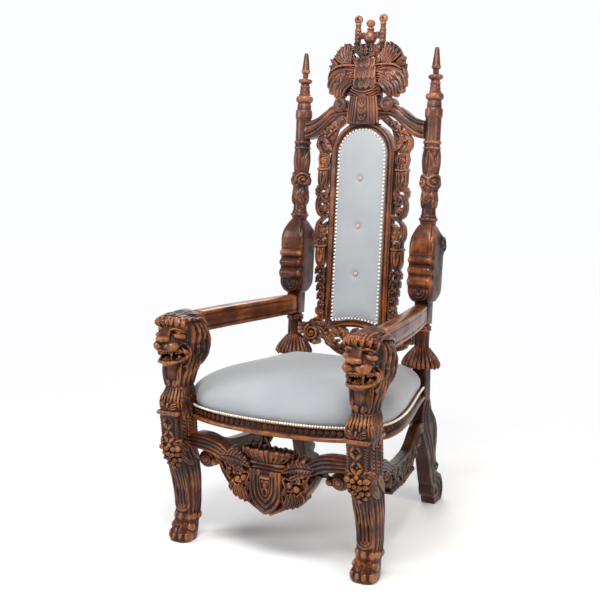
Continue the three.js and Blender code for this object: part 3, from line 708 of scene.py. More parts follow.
# The same order of colours: hollows with stain and painted shade, ground, ridges with wear and a painted
# highlight, streaks.
rail_wood = mahogany(RAILS, "260d05", "5c2a10", "92562a", "2c1004", (42.0, 12.0, 42.0))
print("finish:", rail_wood.name)

# %% [markdown]
# The upholstery is a pale grey microfibre suede. It has no weave to see, only a short nap: a soft
# sheen at glancing angles, cloudy brushing marks, and a fine grain that is drawn at 1.5 mm so that
# it shows. The nails are nickel-plated steel and the buttons are covered in tan leather.

# %% Upholstery
def suede(name, pale, deep):
    look = {"Roughness": 0.85, "Sheen_Weight": 0.35, "Sheen_Roughness": 0.4}
    material, tree, shader, place = new_finish(name, **look)
    cloud, nap = cloudy(tree, place, 7.0, 3.0), cloudy(tree, place, 650.0, 2.0)
    blend = add(tree, "ShaderNodeMix", {0: 0.3}, {2: cloud, 3: nap}, data_type="FLOAT").outputs[0]
    tree.links.new(ramp(tree, blend, (0.32, deep), (0.68, pale)), shader.inputs["Base Color"])
    roughen(tree, shader, nap, 0.35, 0.0004)
    return material


upholstery = suede("microfibre_suede", "a2a6aa", "969a9f")
print("finish:", upholstery.name)

# %% Nails and buttons
def trimming(name, light, dark, metallic, rough):
    material, tree, shader, place = new_finish(name, Metallic=metallic)
    spots = cloudy(tree, place, 260.0, 2.0)
    tree.links.new(ramp(tree, spots, (0.35, dark), (0.62, light)), shader.inputs["Base Color"])
    tree.links.new(ranged(tree, spots, 0.0, 1.0, rough - 0.08, rough + 0.12), shader.inputs["Roughness"])
    return material


nail_metal = trimming("nickel_plated_steel", "fbf8ee", "ddd5c4", 0.35, 0.3)
button_cover = trimming("tan_covered_button", "c9b09f", "a38870", 0.0, 0.5)
print("finishes:", nail_metal.name, button_cover.name)

# %% [markdown]
# ## Front legs
# Each front leg is one block of wood: a lion's paw, a fluted shank, a carved knee, a square under the
# collar, and a lion's head. Balls and slabs give the masses, ropes give locks, lips and folds.

# %% The leg's masses
STEP = 1.7
LEG = [
    [0, 0, -360, 40, 43, 3], [40, 0, -348, 40, 44, 3], [90, 0, -333, 36, 39, 3], [135, 0, -324, 34, 37, 3],
    [180, 0, -326, 35, 39, 3], [226, 0, -333, 38, 44, 3], [280, 0, -349, 42, 51, 3],
    [315, 0, -358, 43, 57, 3],
    [360, 0, -366, 42, 61, 4], [440, 0, -371, 39, 62, 5], [466, 0, -376, 39, 63, 5],
]
NECK = [
    [464, 0, -376, 39, 64, 5], [512, 0, -374, 39, 61, 5], [534, 0, -366, 36, 53, 3],
    [560, 0, -360, 36, 50, 2.6],
    [610, 0, -350, 41, 58, 2.4], [660, 0, -342, 48, 63, 2.4], [690, 0, -336, 50, 63, 2.4],
]


def lion_masses(leg):
    leg.add(column(LEG), 0).add(column(NECK), 3)
    leg.add(slab((0, -377, 474), (43, 67, 7.5), 6), 1)
    leg.add(ball((0, -330, 734), (60, 86, 69)), 14)
    leg.add(ball((0, -298, 698), (61, 68, 92)), 14)
    leg.add(ball((0, -388, 764), (52, 40, 32)), 12)
    leg.add(ball((0, -410, 714), (46, 40, 30)), 14)
    leg.add(ball((0, -398, 660), (42, 40, 30)), 14)
    leg.add(ball((0, -372, 610), (37, 42, 50)), 12)
    return leg


# %% The face
def bridge(x, y, z):
    """The nose's flat-topped bridge, widening to its tip."""
    t = ((y + 416) * -0.7 + (z - 778) * -0.714) / 68
    deep = (y + 416) * 0.714 - (z - 778) * 0.7
    w = 14 + 11 * np.clip(t, 0, 1)
    a, b, c = np.abs(x) - w + 6.5, np.abs(deep - 9) - 2.5, np.abs(t - 0.5) * 68 - 27.5
    return boxed(a, b, c, 6.5)


def lion_face(leg):
    both = Pair(leg)
    both.add(ball((20, -436, 703), (26, 27, 20), turn=10), 8)
    both.cut(ball((31, -430, 752), (18, 13, 10)), 3)
    leg.add((bridge, [-29, -472, 718], [29, -395, 790]), 5)
    leg.add(ball((0, -457, 727), (27, 12, 11)), 5)
    leg.cut(rope([(0, -474, 712), (0, -470, 700), (0, -464, 686)], [3.5, 2.4, 2.4]), 2)
    both.cut(ball((12, -465, 716), (9.5, 9, 6), tilt=30, turn=20), 1.5)
    both.add(ball((34, -410, 732), (22, 25, 12), tilt=-8), 4)
    both.cut(rope([(15, -444, 727), (28, -438, 717), (44, -418, 713), (56, -396, 722)], [2, 3, 3, 1.5]), 2)
    both.add(ball((30, -416, 750), (12.5, 10, 8.5)), 0)
    both.cut(ball((30, -427, 749), (3, 3, 3)), 1)
    both.add(rope([(12, -425, 747), (20, -431, 757), (33, -428, 760), (46, -412, 752), (51, -400, 744)],
                  [2, 3.4, 3.6, 3, 2]), 1)
    both.add(rope([(12, -426, 746), (24, -430, 741.5), (36, -426, 742), (47, -411, 748)], [1.6, 2.4, 2.4, 2]),
             1)
    both.cut(rope([(14, -428, 764), (28, -434, 768), (44, -420, 764), (54, -402, 752)], [1.2, 1.8, 1.8, 1.2]),
             1)


# %% The mouth
def lion_mouth(leg):
    both = Pair(leg)
    leg.cut(slab((0, -432, 670), (33, 46, 14.5), 12), 3)
    leg.cut(ball((0, -398, 668), (44, 22, 13)), 3)
    leg.add(ball((0, -414, 658), (16, 26, 7)), 2)
    lip = [(46, -392, 672), (40, -420, 686), (24, -450, 689), (4, -462, 691)]
    both.add(rope(lip, [3, 4, 4, 3]), 2)
    low = [(47, -392, 664), (41, -412, 652), (27, -440, 648), (0, -449, 647.5)]
    both.add(rope(low, [3.5, 5, 5.5, 5.5]), 3)
    for x in (4, 11, 17.5):
        both.add(ball((x, -455 + 0.028 * x * x, 683), (3.1, 3, 5.5)), 0.5)
        both.add(ball((x * 0.9, -444 + 0.03 * x * x, 655), (2.9, 3, 5)), 0.5)
    both.add(rope([(25, -443, 688), (25.5, -443, 677), (25, -441, 669)], [5, 4, 1.6]), 1)
    both.add(rope([(20, -434, 652), (20.5, -436, 661), (20, -436, 669)], [4.2, 3.4, 1.4]), 1)
    for k, y in enumerate((-428, -419, -410)):
        both.add(ball((33 + k * 3, y, 680 - k), (3.6, 3.8, 4.5)), 0.5)
        both.add(ball((32 + k * 3, y + 4, 659 + k), (3.4, 3.8, 4)), 0.5)
    leg.add(ball((0, -430, 641), (22, 16, 9)), 5)


# %% The folds beside the mouth and eye, and the smooth band behind them
def lion_cheeks(leg):
    both = Pair(leg)
    band = [(54, -378, 790), (60, -366, 760), (60, -362, 715), (56, -364, 670), (50, -372, 628),
            (42, -384, 600)]
    both.trace(band, [8, 12, 12, 12, 11, 6], -3.5, 2)
    both.trace([(60, -348, 792), (64, -342, 740), (62, -342, 680), (52, -350, 620)], [2, 4, 4, 2], 1, 2, True)
    both.trace([(54, -388, 770), (56, -382, 735), (55, -382, 700)], [1.5, 2.6, 1.5], 1, 1, True)
    for k, r in enumerate((12, 22, 32)):
        a = np.radians(np.linspace(80, -100 + 6 * k, 11))
        arc = [((52 + 12 * min(math.sin(t), 0)), -406 + r * math.cos(t), 666 + r * 1.3 * math.sin(t))
               for t in a]
        both.trace(arc, [3, 5.4, 6, 6, 5.4, 3], 1.0, 0.8, False, 22)
    for k, r in enumerate((8, 14, 20)):
        a = np.radians(np.linspace(0, -120, 7))
        arc = [(54, -396 + r * math.cos(t), 722 + r * math.sin(t)) for t in a]
        both.trace(arc, [1.2, 2.6, 2.8, 2.2, 1.2], 0.4, 0.8)
    both.cut(rope([(37, -412, 636), (34, -408, 622), (26, -404, 600)], [2, 6, 3]), 5)


# %% Locks of hair
def lock(leg, line, width, strands=3, blend=1.0, out=(1, 0, 0), above=0.5):
    """A flat lock: strands side by side along out, laid on the wood, tapering to its tip."""
    line = smooth_line(line, 7)
    out = np.asarray(out, float)
    for k in range(strands):
        q = (k - (strands - 1) / 2) * width / strands
        swell = np.array([0.55, 0.9, 1.0, 0.95, 0.8, 0.5, 0.12])[:, None]
        strand = line + out * q * swell
        radius = width / strands * 0.66 * np.array([0.7, 1, 1.05, 1, 0.85, 0.6, 0.3])
        leg.add(rope(leg.land(strand, above), radius, 7), blend)


def hair_waves(x, y, z):
    """Flowing grooves for the mane behind the face."""
    behind = np.clip((y + 352) / 14, 0, 1) * np.clip((z - 575) / 30, 0, 1)
    drift = 16 * np.sin(z / 26.0 + 0.05 * y) + 8 * np.sin(z / 11.0 + 0.03 * y)
    wave = np.sin((y + drift + 0.35 * np.abs(x)) / 2.7)
    return behind * (1.0 * wave + 0.4)


def lion_hair(leg):
    leg.swell(hair_waves, (-80, -352, 560), (80, -222, 826))
    for x in (0, 21, -21, 42, -42):
        y = -404 + 0.008 * x * x
        lock(leg, [(x * 0.95, -318, 800 - 0.008 * x * x), (x, -362, 802 - 0.009 * x * x),
                   (x, y - 2, 798 - 0.008 * x * x),
                   (x * 1.03, y - 22, 790 - 0.006 * x * x),
                   (x * 1.04, y - 20, 781 - 0.004 * x * x)], 22, 3, 1.0, (1, 0, 0), 3)
    for x in (10.5, -10.5, 31, -31, 49, -49):
        y = -412 + 0.0085 * x * x
        s = np.sign(x)
        lock(leg, [(x, y + 18, 792 - 0.004 * x * x), (x * 1.02, y - 4, 794 - 0.004 * x * x),
                   (x * 1.05 + 2 * s, y - 19, 785 - 0.004 * x * x),
                   (x * 1.02 + 3 * s, y - 21, 774 - 0.003 * x * x),
                   (x * 0.96, y - 15, 767 - 0.003 * x * x)], 18, 3, 1.0, (1, 0, 0), 2)
    lock(leg, [(0, -412, 792), (0, -432, 788), (0, -441, 777), (0, -436, 766)], 13, 2)
    for s in (1, -1):
        for x, top, foot in ((52, -342, -366), (55, -318, -348), (54, -292, -330), (46, -270, -314),
                             (34, -258, -304)):
            high = 738 + 69 * math.sqrt(max(0, 1 - (x / 60) ** 2 - ((top + 330) / 86) ** 2))
            run = zip((0, 7, 9, 6, -2, -8), (top, top + 10, top + 6, top + 8, (top + foot) / 2, foot),
                      np.linspace(high, 596, 6))
            line = [(s * (x + more), y, z) for more, y, z in run]
            leg.trace(line, [4, 9, 9.5, 9.5, 8, 4], -2, 2.5)
            for d in (-4, 4):
                leg.trace([(p[0], p[1] + d, p[2]) for p in line], [1.2, 2.2, 2.2, 2.2, 2, 1], 1.2, 1, True)
        for x in (10, 29, 47):
            line = [(s * x, -352, 802 - 0.009 * x * x), (s * (x + 2), -316, 799 - 0.010 * x * x),
                    (s * (x - 1), -280, 790 - 0.010 * x * x), (s * x * 0.9, -250, 768 - 0.01 * x * x)]
            lock(leg, line, 20, 3, 1.2, (1, 0, 0), 0.8)
        for k, y in enumerate((-388, -366, -342, -318)):
            line = [(s * (56 - k), y + 10, 668 - 8 * k), (s * 50, y + 2, 632), (s * 41, y, 596),
                    (s * 37, y - 3, 560)]
            leg.trace(line, [3, 7, 8, 6, 4], -0.5, 2.0)
            leg.trace([(p[0], p[1] + 10, p[2]) for p in line], [2, 3, 3, 2], 1.0, 1.5, True)
        lock(leg, [(s * 33, -404, 634), (s * 33, -408, 608), (s * 31, -408, 582), (s * 29, -410, 560)], 20, 3,
             1.5, (0.8, 0.5, 0), 1.5)
        lock(leg, [(s * 12, -400, 580), (s * 13, -404, 572), (s * 11, -408, 564), (s * 11, -410, 556)], 17, 2,
             1.5, (1, 0, 0), 1)


# %% The fringe, the leaf block and the knee
def round_leg(angle, z, out, rings):
    """A point on the leg's outline at an angle from its front, moved out by a distance."""
    rings = np.asarray(rings, float)
    cx, cy, a, b, n = (np.interp(z, rings[:, 0], rings[:, k]) for k in range(1, 6))
    c, s = math.cos(math.radians(angle)), math.sin(math.radians(angle))
    r = (abs(s / a) ** n + abs(c / b) ** n) ** (-1 / n)
    return (cx + (r + out) * s, cy - (r + out) * c, z)


def lion_capital(leg):
    both = Pair(leg)
    for k, angle in enumerate(range(-132, 133, 11)):
        foot = 510 if k % 2 else 517
        top = round_leg(angle, 552, 1, NECK)
        leg.add(rope([top, round_leg(angle, 540, 2.5, NECK), round_leg(angle, 526, 3.5, NECK),
                      round_leg(angle, foot, 3.5, NECK)], [3, 4.8, 5.4, 2]), 0.8)
    for angle in range(-110, 111, 10):
        leg.add(rope([round_leg(angle, 557, 0, NECK), round_leg(angle + 9, 552, 2.5, NECK)], [2.2, 2.6], 3),
                1)
    for z in (506, 499, 491):
        both.trace([(7, -437, 488), (20, -438, z - 2), (34, -436, z + 1)], [2.8, 3.6, 1.8], 1, 0.8)
    leg.add(ball((0, -437, 497), (5.5, 5, 11)), 1)
    for y in range(-424, -318, 13):
        both.trace([(37, y, 511), (40, y - 4, 500), (40, y + 5, 486)], [3, 4.2, 2], 0.4, 0.8)
    for x in (-27, -21, 21, 27):
        leg.cut(rope([(x, -450, 485), (x, -450.5, 474), (x, -450, 463)], [1.6, 1.6, 1.6]), 0.6)


def diamond(leg, z, size, y):
    """A square of folded leaves, set on its corner, with a deep eye."""
    corner = [(0, y, z + size * 1.12), (size, y, z), (0, y - 1, z - size * 1.12), (-size, y, z)]
    for a, b in zip(corner, corner[1:] + corner[:1]):
        leg.add(rope([a, tuple(np.add(a, b) / 2 - (0, 3, 0)), b], [4.2, 6.2, 4.2], 6), 0.8)
    leg.cut(ball((0, y - 6, z), (7.5, 10, 8.5)), 1.5)
    leg.add(ball((0, y + 1, z), (4.2, 4, 4.2)), 0.5)
    for dx, dz in ((1, 1), (1, -1), (-1, -1), (-1, 1)):
        a, b = (dx * size * 0.3, y - 8, z + dz * size * 0.3), (dx * size * 0.68, y - 4, z + dz * size * 0.75)
        leg.cut(rope([a, tuple(np.add(a, b) / 2), b], [1.3, 1.5, 1], 4), 0.5)


def lion_knee(leg):
    diamond(leg, 441, 20, -431)
    diamond(leg, 392, 20, -427)
    for s in (1, -1):
        for z in range(374, 462, 9):
            leg.trace([(s * 38, -430, z - 4), (s * 29, -432, z), (s * 38, -430, z + 4)], [1.8, 2.6, 1.8], 0.6,
                      0.8)
        for y in (-412, -378, -344):
            leg.trace([(s * 41, y, 462), (s * 43, y, 420), (s * 44, y + 2, 380), (s * 43, y + 6, 344)],
                      [2.4, 3.6, 3.6, 2], 0, 1)
            for z in range(352, 458, 12):
                leg.trace([(s * 41.5, y + 6, z + 7), (s * 43, y + 15, z - 1), (s * 41.5, y + 25, z + 7)],
                          [2, 3.8, 2], 0.6, 0.8)
        for y, z in ((-414, 520), (-392, 524), (-368, 524)):
            lock(leg, [(s * 41, y, z), (s * 44, y + 4, z - 24), (s * 46, y + 8, z - 46),
                       (s * 42, y + 10, z - 72)], 20, 3, 1.0, (0, 1, 0.1), 1.5)
        lock(leg, [(s * 26, -426, 372), (s * 40, -414, 362), (s * 46, -398, 346), (s * 44, -380, 326)], 26, 4,
             1.0, (0, 0.4, 0.9), 3)
        lock(leg, [(s * 34, -412, 334), (s * 43, -396, 316), (s * 44, -378, 298), (s * 42, -360, 284)], 26, 4,
             1.0, (0, 0.4, 0.9), 3)
        lock(leg, [(s * 40, -370, 350), (s * 42, -350, 328), (s * 41, -330, 306), (s * 38, -316, 290)], 24, 3,
             1.0, (0, 0.4, 0.9), 2)
        for x, z, r in ((33, 355, 11), (13, 350, 9), (26, 332, 9.5), (9, 330, 9), (30, 310, 9),
                        (12, 310, 9.5), (19, 292, 8)):
            at = leg.land([(s * x, round_leg(0, z, 0, LEG)[1], z)], 3.0)[0]
            leg.add(ball(at, (r, r, 0.9 * r)), 0.8)
            leg.cut(ball(at + (0, -r, 0), (2.2, 3, 2.2)), 0.8)
    for z in (366, 322, 299, 280):
        leg.add(ball(leg.land([round_leg(0, z, 0, LEG)], 3)[0], (7.5, 8, 7)), 0.8)


# %% The shank and the paw
def lion_shank(leg):
    for angle in (38, 58, 80, 104, 130, 156, 180):
        for s in (1, -1) if angle < 180 else (1,):
            top, foot = (330, 70) if angle > 120 else (292, 96)
            zs = np.linspace(top, foot, 6)
            leg.add(rope([round_leg(s * angle, z, -1.2, LEG) for z in zs], [2, 7, 7.4, 7.2, 7, 3]), 0.8)
    for r in (27, 16.5, 6.5):
        a = np.radians(np.linspace(0, -180, 9))
        down = [(r, -372 - 0.15 * (z - 180), z) for z in (278, 250, 215, 180)]
        arc = down + [(r * math.cos(t), -366, 140 + r * math.sin(t)) for t in a] + [(-x, y, z) for x, y,
            z in down[::-1]]
        leg.trace(arc, [2, 5, 5.2, 5.2, 5.2, 5, 2], 0.2, 0.8, False, 40)


def lion_paw(leg):
    both = Pair(leg)
    leg.add(ball((0, -352, 34), (40, 42, 30)), 8)
    for x in (-21, 0, 21):
        leg.add(ball((x, -364 + 0.012 * x * x, 92), (14, 14, 14)), 5)
    both.add(ball((31, -344, 92), (12, 17, 14)), 3)
    both.add(ball((34, -314, 88), (9, 16, 14)), 3)
    for x in (-33, -11.3, 11.3, 33):
        back = 0.007 * x * x
        leg.add(ball((x, -367 + back, 56), (11.4, 18, 15), tilt=-20), 2.5)
        leg.add(ball((x, -380 + back, 29), (11.8, 22, 20)), 2.5)
        leg.cut(rope([(x, -402 + back, 46), (x, -405 + back, 38), (x, -402 + back, 30)], [1, 1.8, 1]), 0.8)
        for d in (-4.5, 4.5):
            leg.cut(rope([(x + d, -401 + back, 24), (x + d, -402.5 + back, 16), (x + d, -399 + back, 8)],
                         [0.8, 1.2, 1.2]), 0.6)
    for x in (-22, 0, 22):
        leg.cut(rope([(x, -358, 82), (x, -384, 58), (x, -402, 30), (x, -402, 8)], [1.6, 2.6, 2.8, 3]), 1.5)
    for z, deep in ((76, -386), (43, -396)):
        leg.cut(rope([(-36, deep + 14, z), (-12, deep, z - 1), (12, deep, z - 1), (36, deep + 14, z)],
                     [1.6, 2.6, 2.6, 1.6]), 2)
    both.cut(rope([(46, -360, 50), (46, -338, 36), (44, -322, 16)], [1.6, 2.4, 2]), 2)


# %% The whole leg
def carve_lion():
    leg = Block((-80, -474, 2), (80, -220, 828), STEP)
    for step in (lion_masses, lion_face, lion_mouth, lion_cheeks, lion_hair, lion_capital, lion_knee,
                 lion_shank, lion_paw):
        step(leg)
    leg.cut(slab((0, -350, -31), (120, 200, 40), 0.5))
    return skin(leg)


lion_points, lion_faces = carve_lion()
for side, hand in HANDS:
    lion = to_mesh("lion_leg_carving_" + hand, lion_points, lion_faces, LEG_X, side, 120000)
    settle(lion, "lion_leg_" + hand, carved_wood)

# %% [markdown]
# ## Rear posts
# A rear post is turned, carved and joined from one length of wood: scroll foot, square, tassel, arm
# block, rolled scroll, flowered column and spire. It leans back above the seat, so its Block is
# drawn along the lean, and the upright leg is turned into it.

# %% Turned and sawn shapes
def turned(rings):
    """A body turned about the vertical, from pairs of radius and height."""
    r, h = np.asarray(rings, float).T

    def inside(x, y, z):
        return np.maximum(np.hypot(x, y) - np.interp(z, h, r), np.maximum(h[0] - z, z - h[-1]))

    return inside, [-r.max(), -r.max(), h[0]], [r.max(), r.max(), h[-1]]


def bezier(a, b, c, d, count=8):
    t = np.linspace(0, 1, count, endpoint=False)[:, None]
    a, b, c, d = (np.asarray(p, float) for p in (a, b, c, d))
    return (1 - t) ** 3 * a + 3 * t * (1 - t) ** 2 * b + 3 * t**2 * (1 - t) * c + t**3 * d


def curved(*p):
    """Points along joined Bezier curves: a start, then three points for each. The last is left out."""
    return [q for k in range(0, len(p) - 1, 3) for q in bezier(*p[k : k + 4])]


def sawn(outline, half, ease):
    """A side outline in y and z, as wide as half(z) each way from x = 0, with eased edges."""
    p = np.asarray(outline, float)
    sheet = Relief(p[:, 0].min() - 14, p[:, 0].max() + 14, p[:, 1].min() - 14, p[:, 1].max() + 14, 1.5)
    sheet.height = outline_distance(p, sheet.u[:, None], sheet.v[None, :])

    def inside(x, y, z):
        return -soften(-sampled(sheet, y, z), half(z) - np.abs(x), ease)

    wide = half(np.linspace(p[:, 1].min(), p[:, 1].max(), 60)).max()
    return inside, [-wide, *p.min(0)], [wide, *p.max(0)]


def upright(shape):
    """A shape of the upright frame, for a Block drawn along the lean."""
    inside, lo, hi = shape
    c, s = math.cos(RAKE), math.sin(RAKE)

    def leaned_inside(x, y, z):
        return inside(x, POST_Y + y * c + (z - PIVOT_Z) * s, PIVOT_Z + (z - PIVOT_Z) * c - y * s)

    corner = np.array([(y - POST_Y, z - PIVOT_Z) for y in (lo[1], hi[1]) for z in (lo[2], hi[2])])
    y = corner[:, 0] * c - corner[:, 1] * s
    z = PIVOT_Z + corner[:, 0] * s + corner[:, 1] * c
    return leaned_inside, [lo[0], y.min(), z.min()], [hi[0], y.max(), z.max()]


def wrapped(sheet, radius):
    """A relief bent round the vertical axis, for swell()."""

    def amount(x, y, z):
        return sampled(sheet, np.arctan2(x, -y) * radius, z + 0 * x)

    return amount


# %% The post's parts
COLUMN = [
    [0, 1049], [28, 1050], [28, 1078], [30, 1081], [30, 1085], [34, 1088], [35, 1092], [34, 1097], [29, 1100],
    [29, 1106],
    [26, 1110], [25, 1128], [29, 1160], [25, 1192], [31, 1222], [25, 1256], [28, 1290], [28, 1340],
    [32, 1344], [32, 1349],
    [29, 1351], [29, 1361], [33, 1364], [33, 1370], [28.5, 1373], [28.5, 1455], [31, 1458], [32, 1462],
    [32, 1484], [30, 1489],
    [26.5, 1491], [26.5, 1510], [24, 1512], [24, 1517], [31, 1521], [33, 1530], [31, 1539], [24, 1543],
    [22, 1549], [19.5, 1552],
    [19, 1558], [21, 1560], [18.5, 1563], [17.5, 1574], [20, 1577], [17, 1581], [15, 1588], [25, 1593],
    [27, 1599], [25, 1605],
    [15, 1609], [10.5, 1612], [10.5, 1626], [16, 1629], [17, 1636], [14.5, 1642], [12, 1664], [9, 1690],
    [8, 1699], [6, 1704], [0, 1705.5],
]
LOWER_COLUMN = [
    [0, 560], [26, 560], [27, 688], [31, 691], [33, 696], [31, 700], [33, 704], [31, 708], [25, 712],
    [25, 732], [0, 733],
]


def bolster_width(z):
    return np.interp(z, [787, 800, 830, 1000, 1030, 1056, 1078], [30, 42, 49, 49, 45, 35, 27])


def bolster_outline():
    points = [*curved((-27, 1078), (-40, 1066), (-61, 1036), (-61, 990)), (-60, 968)]
    for z, drop in ((962, 33), (927, 36), (889, 42)):
        t = np.linspace(0, 1, 9)
        points += list(zip(-57 - 13 * np.sin(math.pi * t) ** 0.8, z - drop * t))
    points += curved((-56, 844), (-58, 812), (-40, 790), (-8, 787), (30, 790), (54, 818), (55, 862))
    return points + curved((56, 960), (76, 976), (78, 1028), (50, 1046), (38, 1056), (32, 1068), (26, 1078))


def rear_leg_outline():
    front = curved((262, 440), (240, 420), (232, 380), (240, 340), (246, 300), (286, 250), (306, 200))
    toe = curved((306, 200), (318, 160), (330, 110), (342, 90), (336, 60), (352, 40), (372, 34))
    heel = curved((446, 4), (470, 30), (467, 80), (440, 110), (424, 122), (404, 126), (396, 136))
    rear = curved((396, 136), (416, 142), (416, 168), (394, 172), (376, 190), (384, 230), (392, 260))
    knee = curved((392, 260), (400, 320), (350, 380), (318, 402))
    return [(259, 606), *front, *toe, (376, 4), *heel, *rear, *knee, (312, 440), (312, 606)]


def column_flowers():
    """The column's carving, unrolled: hanging leaves, a band of roses, and a calyx."""
    around = math.pi * 28.5
    sheet = Relief(-around, around, 1124, 1340, 0.8, 0.0)
    for k in range(-5, 6):
        u = (k + 0.5) * around / 2
        sheet.leaf([(u, 1256), (u + 6, 1286), (u + 2, 1310)], 46, 4.5, 0, 2, 1)
        sheet.leaf([(u + around / 4, 1254), (u + around / 4 + 3, 1298), (u + around / 4, 1338)], 48, 6.5, 0,
                   0, 1)
        sheet.disc((u, 1225), 29, 4).scroll((u + 2, 1226), 25, 1.4, 30, 13, 6.5, 3, 1)
        sheet.leaf([(u + 20, 1246), (u + 34, 1256), (u + 50, 1240)], 22, 5.5, 0, 2, 2)
        sheet.leaf([(u + 20, 1206), (u + 34, 1196), (u + 50, 1208)], 22, 5.5, 0, 2, 2)
        sheet.leaf([(u, 1194), (u + 8, 1166), (u, 1134)], 46, 6.5, 0, 2, 2)
        sheet.leaf([(u + around / 4, 1196), (u + around / 4 + 6, 1172), (u + around / 4, 1146)], 34, 4.5, 0,
                   2, 1)
    return sheet


def carve_post():
    post = Block((-74, -92, 6), (74, 252, 1712), 1.9)
    post.add(turned(COLUMN)).add(turned(LOWER_COLUMN))
    flowers = column_flowers()
    post.swell(wrapped(flowers, 28.5), (-44, -44, 1124), (44, 44, 1340))
    post.add(slab((0, 0, 758), (26, 26, 42), 2), 0)
    post.add(sawn(bolster_outline(), bolster_width, 20), 1)
    both = Pair(post)
    both.cut(rope([(10, -40, 1070), (16, -62, 1030), (16, -66, 975)], [1.5, 3, 2.2]), 2)
    both.cut(rope([(26, -26, 1070), (37, -56, 1024), (38, -66, 975)], [1.5, 3.2, 2.2]), 2)
    both.cut(rope([(53, -46, 1000), (53, -46, 860), (50, -30, 812)], [2, 3, 2]), 2)
    both.cut(rope([(53, 0, 1040), (53, -20, 950), (53, -12, 870), (50, 10, 818)], [1.6, 2.6, 2.6, 1.6]), 2)
    a = np.radians(np.linspace(-60, 340, 14))
    ear = [(48, 40 + (26 - 1.5 * k) * math.cos(t), 1008 + (28 - 1.5 * k) * math.sin(t)) for k,
           t in enumerate(a)]
    both.trace(ear, [3, 5, 4.5, 3], 1, 1.5)
    both.cut(rope([(52, 58, 960), (52, 40, 900), (50, 26, 830)], [1.5, 2.6, 1.5]), 2)
    for k, r in enumerate((11, 20, 29)):
        a = np.radians(np.linspace(0, -180, 9))
        post.trace([(r * math.cos(t), -46, 838 + r * 1.25 * math.sin(t)) for t in a], [2, 3.5, 4, 3.5, 2], 0,
                   1)
    rings = [[557, 0, 0, 62, 56, 2.2], [561, 0, 0, 67, 60, 2.2], [580, 0, 0, 60, 54, 2.2],
             [600, 0, 0, 47, 43, 2.1], [618, 0, 0, 35, 33, 2], [630, 0, 0, 26, 26, 2]]
    post.add(column(rings), 1)
    for angle in range(0, 360, 15):
        hem = 556 if (angle // 15) % 2 else 562
        line = [round_leg(angle, z, out, rings) for z, out in ((628, 0.5), (610, 1.5), (590, 2), (570, 1.5))]
        post.add(rope(line + [round_leg(angle, hem, 0.5, rings)], [2.6, 4.6, 6.4, 7, 3]), 0.6)
    post.add(upright(sawn(rear_leg_outline(), lambda z: np.full(np.shape(z), 27.0), 5)), 1)
    lines = [
        ([(286, 434), (262, 400), (262, 350), (300, 280), (330, 220), (344, 160)], [3, 5, 6, 6, 5, 2]),
        ([(300, 430), (286, 390), (296, 340), (326, 280), (346, 226), (354, 172)], [3, 5, 6, 5, 4, 2]),
        ([(306, 400), (330, 370), (352, 330), (362, 280), (362, 230)], [3, 6, 6, 5, 2]),
        ([(330, 384), (356, 350), (374, 312), (378, 270)], [2, 5, 5, 2]),
        ([(356, 150), (362, 120), (368, 96)], [3, 5, 3]),
        ([(372, 160), (392, 152), (398, 160), (388, 166)], [5, 6, 5, 3]),
        ([(356, 84), (352, 64), (366, 48), (386, 50), (390, 64), (378, 70)], [3, 6, 7, 6, 5, 3]),
        ([(384, 120), (418, 106), (440, 80), (444, 44), (430, 20)], [3, 6, 6, 6, 3]),
        ([(372, 108), (404, 94), (420, 66), (416, 30)], [3, 5, 5, 3]),
    ]
    c, s = math.cos(RAKE), math.sin(RAKE)
    for line, radii in lines:
        path = [(27.5, (y - POST_Y) * c - (z - PIVOT_Z) * s, PIVOT_Z + (y - POST_Y) * s + (z - PIVOT_Z) * c)
                for y, z in line]
        post.add(rope(path, np.array(radii) * 0.8), 1)
    post.cut(upright((lambda x, y, z: z - FLOOR + 0 * x + 0 * y, [-80, 150, -40], [80, 500, FLOOR + 2])), 0)
    points, faces = skin(post)
    return lean(points), faces


post_points, post_faces = carve_post()
for side, hand in HANDS:
    post = to_mesh("rear_post_carving_" + hand, post_points, post_faces, POST_X, side, 70000, 7)
    settle(post, "rear_post_" + hand, carved_wood)

# %% [markdown]
# ## Mouldings and arms
# A moulding is one section carried along a path. The section is drawn once, as it would be cut on
# the edge of a plane iron, and set square to the path at each of its points.

# %% A section along a path
def band_faces(a, b, n):
    """Faces between two rings of n corners that start at a and b."""
    return [(a + i, a + (i + 1) % n, b + (i + 1) % n, b + i) for i in range(n)]


def fan_faces(start, hub, n, out):
    """Three-sided faces from a ring of corners to a hub, written with the hub twice."""
    pairs = [(start + i, start + (i + 1) % n) for i in range(n)]
    return [(a, b, hub, hub) if out else (b, a, hub, hub) for a, b in pairs]


